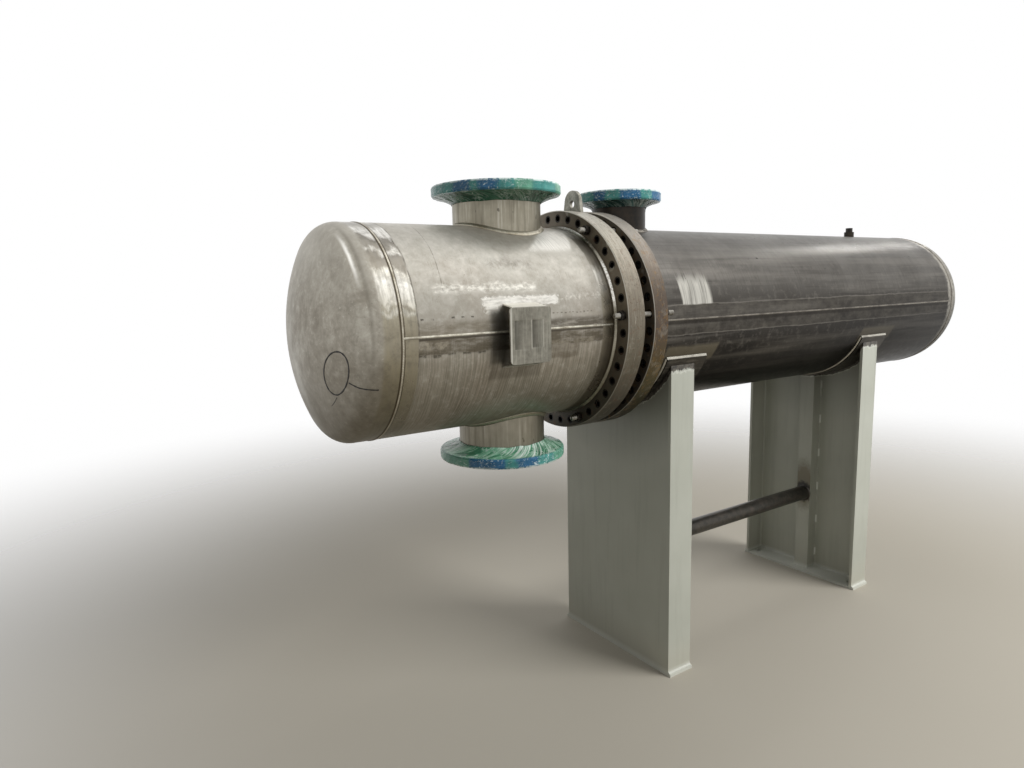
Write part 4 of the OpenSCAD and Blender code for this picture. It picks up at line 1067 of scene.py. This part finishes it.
def head_point(reach, turn):
    """Point and outward direction on the channel head, at the distance reach from the tip along its outline
    and at the angle turn round the axis. The outline is an arc whose radius is the head's diameter, then a
    knuckle arc of a tenth of the diameter, then a straight part: the slope is reach over radius on each
    arc."""
    crown, knuckle = 2 * CHANNEL_R, 0.2 * CHANNEL_R
    tip = box("channel_head")[0, 0]
    meet = math.asin((CHANNEL_R - knuckle) / (crown - knuckle))
    first, second = crown * meet, crown * meet + knuckle * (math.pi / 2 - meet)
    slope = np.minimum(reach / crown, meet) + np.clip((reach - first) / knuckle, 0, math.pi / 2 - meet)
    on_crown = reach < first
    rho = np.where(on_crown, crown * np.sin(slope), CHANNEL_R - knuckle + knuckle * np.sin(slope))
    x = np.where(on_crown, crown - crown * np.cos(slope),
                 crown - (crown - knuckle) * math.cos(meet) - knuckle * np.cos(slope))
    x = tip + x + np.clip(reach - second, 0, None)
    out = np.stack([-np.cos(slope), np.sin(slope) * np.cos(turn), np.sin(slope) * np.sin(turn)], -1)
    return np.stack([x, rho * np.cos(turn), AXIS_Z + rho * np.sin(turn)], -1), out


def ribbon(reach, turn, width, lift, closed=False):
    """Drawn line on the head: a flat strip of that width along the curve, lifted off the surface and 0.3 mm
    thick."""
    path, normal = head_point(reach, turn)
    along = unit(np.roll(path, -1, axis=0) - np.roll(path, 1, axis=0)
                 if closed else np.gradient(path, axis=0))
    side = np.cross(along, normal)
    thick = width * (1 + 0.18 * np.sin(np.arange(len(path)) * 0.7))[:, None] / 2
    a, b = path + side * thick, path - side * thick
    return np.stack([a + normal * lift, b + normal * lift, b - normal * 0.0003, a - normal * 0.0003], 1)


# Settings


class ExchangerSizes(bpy.types.PropertyGroup):
    """Sizes of the details."""

    weld_pitch: FloatProperty(name="Weld ripple", description="Distance between two ripples of a weld",
                              default=0.0075, min=0.003, max=0.02, unit="LENGTH", subtype="DISTANCE")
    seam_width: FloatProperty(name="Seam width", description="Width of the butt welds", default=0.011,
                              min=0.006, max=0.024, unit="LENGTH", subtype="DISTANCE")
    seam_height: FloatProperty(name="Seam height", description="Height of the butt welds", default=0.0028,
                               min=0.001, max=0.006, unit="LENGTH", subtype="DISTANCE")
    fillet_leg: FloatProperty(name="Fillet leg", description="Leg of the fillet welds on the vessel",
                              default=0.010, min=0.005, max=0.016, unit="LENGTH", subtype="DISTANCE")
    saddle_leg: FloatProperty(name="Saddle fillet", description="Leg of the fillet welds on the saddles",
                              default=0.006, min=0.003, max=0.012, unit="LENGTH", subtype="DISTANCE")
    thread_pitch: FloatProperty(name="Thread pitch", description="Pitch of the stud threads", default=0.0025,
                                min=0.0015, max=0.004, unit="LENGTH", subtype="DISTANCE")
    film_crease: FloatProperty(name="Film crease", description="Height of the film's creases", default=0.0022,
                               min=0.0, max=0.006, unit="LENGTH", subtype="DISTANCE")
    marker_width: FloatProperty(name="Marker line", description="Width of the drawn line on the head",
                                default=0.0045, min=0.001, max=0.01, unit="LENGTH", subtype="DISTANCE")
    floor_size: FloatProperty(name="Floor", description="Side of the floor", default=60.0, min=10.0,
                              max=200.0, unit="LENGTH", subtype="DISTANCE")
    lamp_share: IntProperty(name="Lamp level", description="Level of the studio lamps", default=100, min=10,
                            max=400, subtype="PERCENTAGE")


def tone(name, words, code):
    """Colour setting with its default from a hex code."""
    return FloatVectorProperty(name=name, description=words, subtype="COLOR", size=4, min=0, max=1,
                               default=linear(code))


class ExchangerColours(bpy.types.PropertyGroup):
    """Main colour of each finish."""

    head: tone("Head", "Pickled stainless of the channel head", "#aca79b")
    barrel: tone("Barrel", "Pickled stainless of the channel barrel", "#bbb7ad")
    neck: tone("Neck", "Satin stainless of the channel nozzles", "#a19b8b")
    bright_weld: tone("Bright weld", "Stainless weld metal", "#e2decf")
    shell: tone("Shell", "Carbon steel plate of the shell", "#7f7a73")
    enamel: tone("Enamel", "Grey enamel of the saddles", "#bbbdb2")
    film_green: tone("Green film", "Stretch film, green layers", "#6aa88e")
    film_teal: tone("Teal film", "Stretch film, green over blue", "#4a958e")
    film_blue: tone("Blue film", "Stretch film, blue layers", "#2b668f")
    plate: tone("Plate", "Bracket and lug", "#8c887c")
    floor: tone("Floor", "Floor of the studio", "#b4aea1")


def sizes():
    """The sizes that are set in the scene."""
    return bpy.context.scene.exchanger_sizes


def colours():
    """The colours that are set in the scene."""
    return bpy.context.scene.exchanger_colours


def finish(material, *names):
    """Gives solids a finish, in every slot they have."""
    for name in names:
        mesh = NODES[name].data
        if not mesh.materials:
            mesh.materials.append(material)
        for i in range(len(mesh.materials)):
            mesh.materials[i] = material


# Operators


class EXCHANGER_OT_heads(bpy.types.Operator):
    """Finish of the channel head, with the drawn marker ring on it"""

    bl_idname = "exchanger.heads"
    bl_label = "Channel head"

    def execute(self, context):
        finish(pickled_stainless_head(colours().head), "channel_head")
        width = sizes().marker_width
        marker = ink("paint marker", linear("#171512"))
        # ring: an ellipse in the plane across the axis, laid on the crown
        turn = np.linspace(0, 2 * np.pi, 120, endpoint=False)
        across, up = np.cos(turn) * (1 + 0.04 * np.sin(turn)), np.sin(turn)
        y, h = -0.2174 - 0.0559 * across - 0.0205 * up, -0.1005 + 0.0037 * across + 0.0665 * up
        crown = 2 * CHANNEL_R
        ring = ribbon(crown * np.arcsin(np.hypot(y, h) / crown), np.arctan2(h, y), width, 0.0006, True)
        # tail and tick: distance from the tip and angle at a few places, joined smoothly
        t = np.linspace(0, 1, 48)
        tail = ribbon(0.3026 + 0.0974 * t, 3.580 - 0.0165 * t + 0.003 * np.sin(6 * t), width * 0.8, 0.0006)
        tick = ribbon(0.2693 - 0.0065 * t, 3.870 + 0.195 * t, width * 0.4, 0.0006)
        piece("marker_ring", [(ring, True, True)], marker)
        piece("marker_tail", [(capped(tail), False, True), (capped(tick), False, True)], marker)
        return {"FINISHED"}


class EXCHANGER_OT_barrels(bpy.types.Operator):
    """Finish of the channel barrel, the shell barrel and the rear head"""

    bl_idname = "exchanger.barrels"
    bl_label = "Barrels"

    def execute(self, context):
        finish(pickled_stainless_barrel(colours().barrel), "channel_barrel")
        finish(mill_plate(colours().shell), "shell_barrel", "rear_head")
        return {"FINISHED"}


class EXCHANGER_OT_body_flanges(bpy.types.Operator):
    """Finish of the two body flanges and the tube sheet between them"""

    bl_idname = "exchanger.body_flanges"
    bl_label = "Body flanges"

    def execute(self, context):
        light = forged_flange("forged flange, machined", LIGHT_RIM, linear("#736a5b"), linear("#3a352b"),
                              "#6b4f3c", 0.42)
        rusty = forged_flange("forged flange, light rust", RUSTY_RIM, linear("#756c60"), linear("#2b2721"),
                              "#8c6a35", 0.45)
        finish(light, "channel_flange")
        finish(rusty, "shell_flange")
        finish(dark_steel("machined steel, oiled", linear("#1c1a18"), linear("#3b3026"), 0.6, 0.4),
               "tube_sheet")
        return {"FINISHED"}


class EXCHANGER_OT_round_welds(bpy.types.Operator):
    """Ring welds, flange fillets and long seams with rippled beads"""

    bl_idname = "exchanger.round_welds"
    bl_label = "Vessel welds"

    def execute(self, context):
        s = sizes()
        bright, brown = colours().bright_weld, linear("#6d6149")
        grey, soot = linear("#8a847a"), linear("#37312b")
        brushed = weld_metal("stainless flange weld", linear("#aca695"), linear("#4c4537"),
                             tones=BRUSHED_WELD)
        dull = weld_metal("carbon steel weld metal", grey, soot, rough=0.42)
        ring_weld = weld_metal("stainless ring weld", linear("#cbc5b5"), brown, ("x", CHANNEL_END), 0.0026)
        stainless_seam = weld_metal("stainless seam weld", bright, brown, ("h", 0.0005), 0.0036)
        steel_seam = weld_metal("carbon steel seam weld", grey, soot, ("h", 0.0008), 0.0040, 0.42)
        for name, node, x, radius, material, slot in (
            ("channel_ring_bead", "channel_head_weld", CHANNEL_END, CHANNEL_R, ring_weld, "weld_metal"),
            ("rear_ring_bead", "rear_head_weld", SHELL_END, SHELL_R, dull, "shell_plate"),
        ):
            path, out = ring_path(x, radius, RING_STEPS)
            along = constant((1, 0, 0), RING_STEPS)
            grid = bead(path, along, out, s.seam_width * 0.9, s.seam_height * 0.8, s.weld_pitch, True)
            piece(name, [grid], material, [node])
        for which, x, radius, away, material, slot in (
            ("channel_flange", CHANNEL_FACE, CHANNEL_R, -1, brushed, "weld_metal"),
            ("shell_flange", SHELL_FACE, SHELL_R, 1, dull, "shell_plate"),
        ):
            path, out = ring_path(x, radius, RING_STEPS)
            along = constant((away, 0, 0), RING_STEPS)
            grid = fillet(path, along, out, s.fillet_leg * 0.8, s.weld_pitch, True)
            piece(which + "_fillet", [grid], material, [which + "_weld"])
        for name, node, radius, material, slot in (
            ("channel_seam_bead", "channel_seam_weld", CHANNEL_R, stainless_seam, "weld_metal"),
            ("shell_seam_bead", "shell_seam_weld", SHELL_R, steel_seam, "shell_plate"),
        ):
            low, high = box(node)
            count = int((high[0] - low[0]) / s.weld_pitch * 5)
            start = CHANNEL_END if radius == CHANNEL_R else low[0]
            path = straight((start, -radius, AXIS_Z), (high[0], -radius, AXIS_Z), count)
            up, out = constant((0, 0, 1), count), constant((0, -1, 0), count)
            grid = bead(path, up, out, s.seam_width * 0.72, s.seam_height * 0.9, s.weld_pitch, False)
            piece(name, [grid], material, [node])
        return {"FINISHED"}


class EXCHANGER_OT_nozzles(bpy.types.Operator):
    """Nozzle necks and flanges, with a fillet weld round the foot of each neck"""

    bl_idname = "exchanger.nozzles"
    bl_label = "Nozzles"

    def execute(self, context):
        s = sizes()
        satin = satin_neck(colours().neck)
        finish(satin, "top_nozzle_neck", "bottom_nozzle_neck", "top_nozzle_flange", "bottom_nozzle_flange")
        dark = dark_steel("carbon steel pipe", linear("#1f1d1a"), linear("#352d25"), 0.7, 0.38)
        finish(dark, "shell_nozzle_neck", "shell_nozzle_flange")
        bright = weld_metal("stainless weld metal", linear("#b3ad9c"), linear("#6d6149"))
        grey = bpy.data.materials["carbon steel weld metal"]
        channel = CHANNEL_NOZZLE_X, CHANNEL_NECK_R, CHANNEL_R
        shell = SHELL_NOZZLE_X, SHELL_NECK_R, SHELL_R
        for name, node, (x, neck_r, pipe_r), side, material, slot in (
            ("top_nozzle_fillet", "top_nozzle_weld", channel, 1, bright, "weld_metal"),
            ("bottom_nozzle_fillet", "bottom_nozzle_weld", channel, -1, bright, "weld_metal"),
            ("shell_nozzle_fillet", "shell_nozzle_weld", shell, 1, grey, "flange_steel"),
        ):
            path, along, up = foot_path(x, neck_r, pipe_r, side, FOOT_STEPS)
            grid = fillet(path, along, up, s.fillet_leg * 1.1, s.weld_pitch, True, 0.18)
            piece(name, [grid], material, [node])
        return {"FINISHED"}


class EXCHANGER_OT_film_covers(bpy.types.Operator):
    """Creased stretch film over the three nozzle openings"""

    bl_idname = "exchanger.film_covers"
    bl_label = "Film covers"

    def execute(self, context):
        # layers of film round the rim: where each starts, as a share of a turn, and which it is
        tint = {"g": tuple(colours().film_green), "t": tuple(colours().film_teal),
                "b": tuple(colours().film_blue)}
        channel = CHANNEL_NOZZLE_X, CHANNEL_NECK_R, CHANNEL_NOZZLE_FLANGE
        shell = SHELL_NOZZLE_X, SHELL_NECK_R, SHELL_NOZZLE_FLANGE
        for which, (x, neck_r, thick), side, layers, starts, cone, haze, slot, seed, skirt in (
            ("top", channel, 1, "tbtbtgtgbgtbgt",
             (0.0, 0.05, 0.097, 0.118, 0.163, 0.2, 0.247, 0.33, 0.45, 0.53, 0.62, 0.72, 0.8, 0.88),
             ("#2b5c40", 0.15), "#5c8f72", "green_film", 11, 0.0),
            ("bottom", channel, -1, "gbtbtgtbgtbg",
             (0.0, 0.07, 0.165, 0.19, 0.252, 0.306, 0.42, 0.5, 0.6, 0.7, 0.78, 0.86),
             ("#5ea37b", 1.0), "#cdf0db", "green_film", 23, 0.0),
            ("shell", shell, 1, "tbtbtbtbtbt",
             (0.0, 0.035, 0.08, 0.135, 0.215, 0.27, 0.36, 0.5, 0.64, 0.72, 0.9),
             ("#2c4a45", 0.5), "#86b2ae", "blue_film", 37, 0.016),
        ):
            cover, flange = which + "_nozzle_cover", box(which + "_nozzle_flange")
            outer, inner = (1, 0) if side > 0 else (0, 1)
            reach = abs(flange[outer, 2] - AXIS_Z)
            tip, root = abs(box(cover)[outer, 2] - AXIS_Z), abs(box(cover)[inner, 2] - AXIS_Z)
            rim_r = flange[1, 1]
            tones = [(at, tint[letter]) for at, letter in zip(starts, layers)]
            material = stretch_film(f"stretch film, {which} nozzle", x, tip, tones,
                                    (cone[0], rim_r - 0.006, cone[1]), haze)
            grid = film_cover(x, side, reach, rim_r, neck_r, thick, tip - reach, reach - thick - root, seed,
                              sizes().film_crease, skirt)
            piece(which + "_film", [(grid, True, True)], material, [cover])
        return {"FINISHED"}


class EXCHANGER_OT_nameplate(bpy.types.Operator):
    """Stand-off bracket, its blank nameplate and the lifting lug"""

    bl_idname = "exchanger.nameplate"
    bl_label = "Bracket and lug"

    def execute(self, context):
        base = colours().plate
        finish(sheet_metal("satin stainless sheet", "nameplate_bracket", base), "nameplate_bracket")
        plate = sheet_metal("satin stainless plate", "nameplate", base)
        piece("nameplate_sheet", [pressed_sheet()], plate, ["nameplate"],
              sharp=math.radians(40))
        finish(sheet_metal("plain steel lug", "lifting_lug", linear("#b4b0a4")), "lifting_lug")
        return {"FINISHED"}


class EXCHANGER_OT_studs(bpy.types.Operator):
    """Threaded studs and bevelled nuts that hold the two body flanges"""

    bl_idname = "exchanger.studs"
    bl_label = "Studs and nuts"

    def execute(self, context):
        stud = dark_steel("plain steel stud", linear("#a5a29a"), linear("#5d574d"), 0.9, 0.28)
        black = dark_steel("black steel nut", linear("#2a2826"), linear("#403a34"), 0.85, 0.28)
        rods, nuts = [], []
        low, high = box("body_studs")
        for angle in STUD_ANGLES:
            y = -BOLT_R * math.cos(math.radians(angle))
            z = AXIS_Z + BOLT_R * math.sin(math.radians(angle))
            rods.append(threaded_rod(low[0], high[0], y, z, STUD_R, sizes().thread_pitch))
            for start, stop, more in ((CHANNEL_FACE - NUT_LENGTH, CHANNEL_FACE, 0.0),
                                      (SHELL_FACE, SHELL_FACE + NUT_LENGTH, 0.3)):
                nuts.append(hexagon_nut(start, stop, y, z, NUT_FLATS, STUD_R + 0.0001,
                                        math.radians(angle * 3.0) + more))
        piece("studs", rods, stud, ["body_studs"])
        piece("nuts", nuts, black, ["body_nuts"], sharp=math.radians(24))
        finish(dark_steel("threaded steel fitting", linear("#23211f"), linear("#3c342b"), 0.7, 0.42),
               "vent_coupling", "vent_plug")
        return {"FINISHED"}


class EXCHANGER_OT_saddles(bpy.types.Operator):
    """Enamelled saddles, their weld beads, the wear plates and the brace pipe"""

    bl_idname = "exchanger.saddles"
    bl_label = "Saddles"

    def execute(self, context):
        s = sizes()
        enamel = saddle_enamel(colours().enamel)
        wear = scorched_steel()
        finish(wear, "front_wear_plate", "rear_wear_plate")
        finish(dark_steel("black steel pipe", linear("#3f3d39"), linear("#5a544c"), 0.7, 0.36), "brace_pipe")
        beads = []
        up = (0, 0, 1)
        for end in ("front", "rear"):
            finish(enamel, *(end + tail for tail in ("_base", "_web", "_near_plate", "_far_plate", "_rib")))
            (web_low, web_high), (rib_low, rib_high) = box(end + "_web"), box(end + "_rib")
            base_top = box(end + "_base")[1, 2]
            # the web's open side, and the direction that it faces
            face, inward = (web_high[0], (1, 0, 0)) if end == "front" else (web_low[0], (-1, 0, 0))
            for side, plate, edge in ((-1, "_near_plate", web_low[1]), (1, "_far_plate", web_high[1])):
                low, high = box(end + plate)
                beads.append(straight_fillet((face, edge, base_top), (face, edge, high[2] - 0.05), inward,
                                             (0, -side, 0), s.saddle_leg, 500))
                outer = low[1] if side < 0 else high[1]
                beads.append(straight_fillet((low[0], outer, base_top), (high[0], outer, base_top),
                                             (0, side, 0), up, s.saddle_leg * 1.3, 130))
            for start, stop in ((web_low[1], rib_low[1]), (rib_high[1], web_high[1])):
                beads.append(straight_fillet((face, start, base_top), (face, stop, base_top), inward, up,
                                             s.saddle_leg, 160))
            # stitch welds, 40 mm long and 150 mm apart, between the centre rib and the web
            for k in range(7):
                z = base_top + 0.07 + 0.15 * k
                for side, edge in ((-1, rib_low[1]), (1, rib_high[1])):
                    beads.append(straight_fillet((face, edge, z), (face, edge, z + 0.04), inward,
                                                 (0, side, 0), s.saddle_leg, 36))
        piece("saddle_fillets", beads, enamel)
        # welds along the curved edges of the wear plates and along their straight top edges
        beads = []
        seat = SHELL_R + 0.0002
        half, count = WEAR_PLATE_TURN, 620
        turn = np.linspace(-half, half, count)
        around = np.stack([np.zeros(count), np.sin(turn), -np.cos(turn)], -1)
        for node in ("front_wear_plate", "rear_wear_plate"):
            low, high = box(node)
            for x, away in ((low[0], -1), (high[0], 1)):
                path = np.array([x, 0, AXIS_Z]) + seat * around
                beads.append(fillet(path, constant((away, 0, 0), count), around, 0.0055, 0.010, False))
            for side in (-1, 1):
                out = np.array([0, side * math.sin(half), -math.cos(half)])
                tangent = (0, side * math.cos(half), math.sin(half))
                edge = np.array([0, 0, AXIS_Z]) + seat * out
                beads.append(straight_fillet(edge + [low[0], 0, 0], edge + [high[0], 0, 0], tangent, out,
                                             0.008, 160, 0.010))
        grey = weld_metal("brushed carbon steel weld", linear("#d0ccc0"), linear("#6b655a"), rough=0.36)
        piece("wear_plate_fillets", beads, grey)
        # ring welds at the ends of the brace pipe
        low, high = box("brace_pipe")
        count = 150
        turn = np.linspace(0, 2 * np.pi, count, endpoint=False)
        out = np.stack([np.zeros(count), np.cos(turn), np.sin(turn)], -1)
        rings = []
        for x, away in ((low[0], 1), (high[0], -1)):
            path = np.array([x, 0, (low[2] + high[2]) / 2]) + high[1] * out
            rings.append(fillet(path, constant((away, 0, 0), count), out, 0.006, 0.009, True))
        piece("brace_fillets", rings, bpy.data.materials["black steel pipe"])
        return {"FINISHED"}


class EXCHANGER_OT_studio(bpy.types.Operator):
    """Plain floor, soft lamps, pale surroundings and the camera"""

    bl_idname = "exchanger.studio"
    bl_label = "Studio"

    def execute(self, context):
        scene = context.scene
        # floor: smooth pale concrete, matt, that fades into the pale surroundings far away
        half = sizes().floor_size / 2
        mesh = bpy.data.meshes.new("floor")
        mesh.from_pydata([(-half, -half, 0), (half, -half, 0), (half, half, 0), (-half, half, 0)], [],
                         [(0, 1, 2, 3)])
        floor = bpy.data.objects.new("floor", mesh)
        scene.collection.objects.link(floor)
        material, add, place = new_material("smooth pale concrete")
        cloud = add("TexNoise", place, 0.9, 4, 0.5)
        colour = layered(add, colours().floor, (0.22, "#a29b8d", cloud))
        surface = shade(add, colour, 0.0, 0.75, cloud, 0.0005)
        far = add("VectorMath", place, operation="LENGTH")
        gone = add("MapRange", far, 1.6, 6.5, interpolation_type="SMOOTHSTEP")
        add("OutputMaterial", add("MixShader", gone, surface, add("BsdfTransparent")))
        mesh.materials.append(material)
        # surroundings: white to the camera and in reflections, a soft grey for fill light
        world = bpy.data.worlds.new("studio")
        scene.world = world
        world.use_nodes = True
        world.node_tree.nodes.clear()
        add = partial(add_node, world.node_tree)
        rays = add("LightPath").node.outputs
        seen = add("Math", rays["Is Camera Ray"], rays["Is Glossy Ray"], operation="ADD")
        seen = add("Math", seen, rays["Is Transmission Ray"], operation="ADD", use_clamp=True)
        strength = add("MapRange", seen, None, None, 0.20, 1.0)
        add("OutputWorld", add("Background", (1, 1, 1, 1), strength))
        # lamps: position, aim, size across and along, power in watts, whether metal mirrors them
        share = sizes().lamp_share / 100
        for name, spot, aim, wide, high, power, mirrored in (
            ("key lamp", (3.2, -5.4, 4.8), (-0.2, 0.0, 1.2), 4.5, 1.6, 480, False),
            ("top lamp", (0.4, 1.6, 5.4), (0.0, 0.0, 0.6), 6.0, 3.0, 70, False),
            ("ceiling panel", (1.3, -1.7, 5.4), (0.0, 0.0, 1.4), 3.0, 4.2, 46, True),
            ("long strip", (7.2, 0.85, 5.4), (7.2, 0.0, 1.4), 1.9, 0.22, 38, True),
            ("end panel", (-4.7, -0.1, 5.2), (-1.7, -0.2, 1.6), 0.5, 1.6, 8, True),
        ):
            lamp = bpy.data.lights.new(name, "AREA")
            lamp.shape, lamp.size, lamp.size_y, lamp.energy = "RECTANGLE", wide, high, power * share
            made = bpy.data.objects.new(name, lamp)
            made.visible_glossy = mirrored
            scene.collection.objects.link(made)
            back = np.array(spot, float) - np.array(aim, float)
            back /= np.linalg.norm(back)
            right = np.cross((0, 0, 1), back)
            right /= np.linalg.norm(right)
            up = np.cross(back, right)
            made.matrix_world = Matrix(np.vstack([np.column_stack([right, up, back, spot]),
                                                  [0, 0, 0, 1]]).tolist())
        # camera: solved from the photograph, 24.4 mm on a 36 mm sensor
        lens = bpy.data.cameras.new("camera")
        lens.lens, lens.sensor_width, lens.sensor_fit = 24.3756, 36.0, "HORIZONTAL"
        lens.clip_start, lens.clip_end = 0.05, 200.0
        camera = bpy.data.objects.new("camera", lens)
        scene.collection.objects.link(camera)
        right, up = (0.82604, -0.56317, -0.02255), (0.09981, 0.10678, 0.98926)
        forward = (0.55471, 0.81942, -0.14441)
        spot = (-2.5114, -2.1887, 1.6310)
        rows = [[right[i], up[i], -forward[i], spot[i]] for i in range(3)] + [[0, 0, 0, 1]]
        camera.matrix_world = Matrix(rows)
        scene.camera = camera
        scene.view_settings.view_transform = "Standard"
        return {"FINISHED"}


OPERATORS = (
    EXCHANGER_OT_heads,
    EXCHANGER_OT_barrels,
    EXCHANGER_OT_body_flanges,
    EXCHANGER_OT_round_welds,
    EXCHANGER_OT_nozzles,
    EXCHANGER_OT_film_covers,
    EXCHANGER_OT_nameplate,
    EXCHANGER_OT_studs,
    EXCHANGER_OT_saddles,
    EXCHANGER_OT_studio,
)


class EXCHANGER_PT_panel(bpy.types.Panel):
    """Lists the exchanger's pieces in the sidebar"""

    bl_idname = "EXCHANGER_PT_panel"
    bl_label = "Heat exchanger"
    bl_space_type = "VIEW_3D"
    bl_region_type = "UI"
    bl_category = "Exchanger"

    def draw(self, context):
        for group in (context.scene.exchanger_sizes, context.scene.exchanger_colours):
            box = self.layout.box()
            for name in group.__annotations__:
                box.prop(group, name)
        for operator in OPERATORS:
            self.layout.operator(operator.bl_idname)


CLASSES = (ExchangerSizes, ExchangerColours) + OPERATORS + (EXCHANGER_PT_panel,)


def register():
    """Registers the classes and puts the settings on the scene."""
    for cls in CLASSES:
        bpy.utils.register_class(cls)
    bpy.types.Scene.exchanger_sizes = PointerProperty(type=ExchangerSizes)
    bpy.types.Scene.exchanger_colours = PointerProperty(type=ExchangerColours)


def unregister():
    """Takes the settings and the classes away again."""
    del bpy.types.Scene.exchanger_colours
    del bpy.types.Scene.exchanger_sizes
    for cls in reversed(CLASSES):
        bpy.utils.unregister_class(cls)


def main():
    """Dresses the whole part."""
    register()
    for operator in OPERATORS:
        group, name = operator.bl_idname.split(".")
        getattr(getattr(bpy.ops, group), name)()


if __name__ == "__main__":
    main()
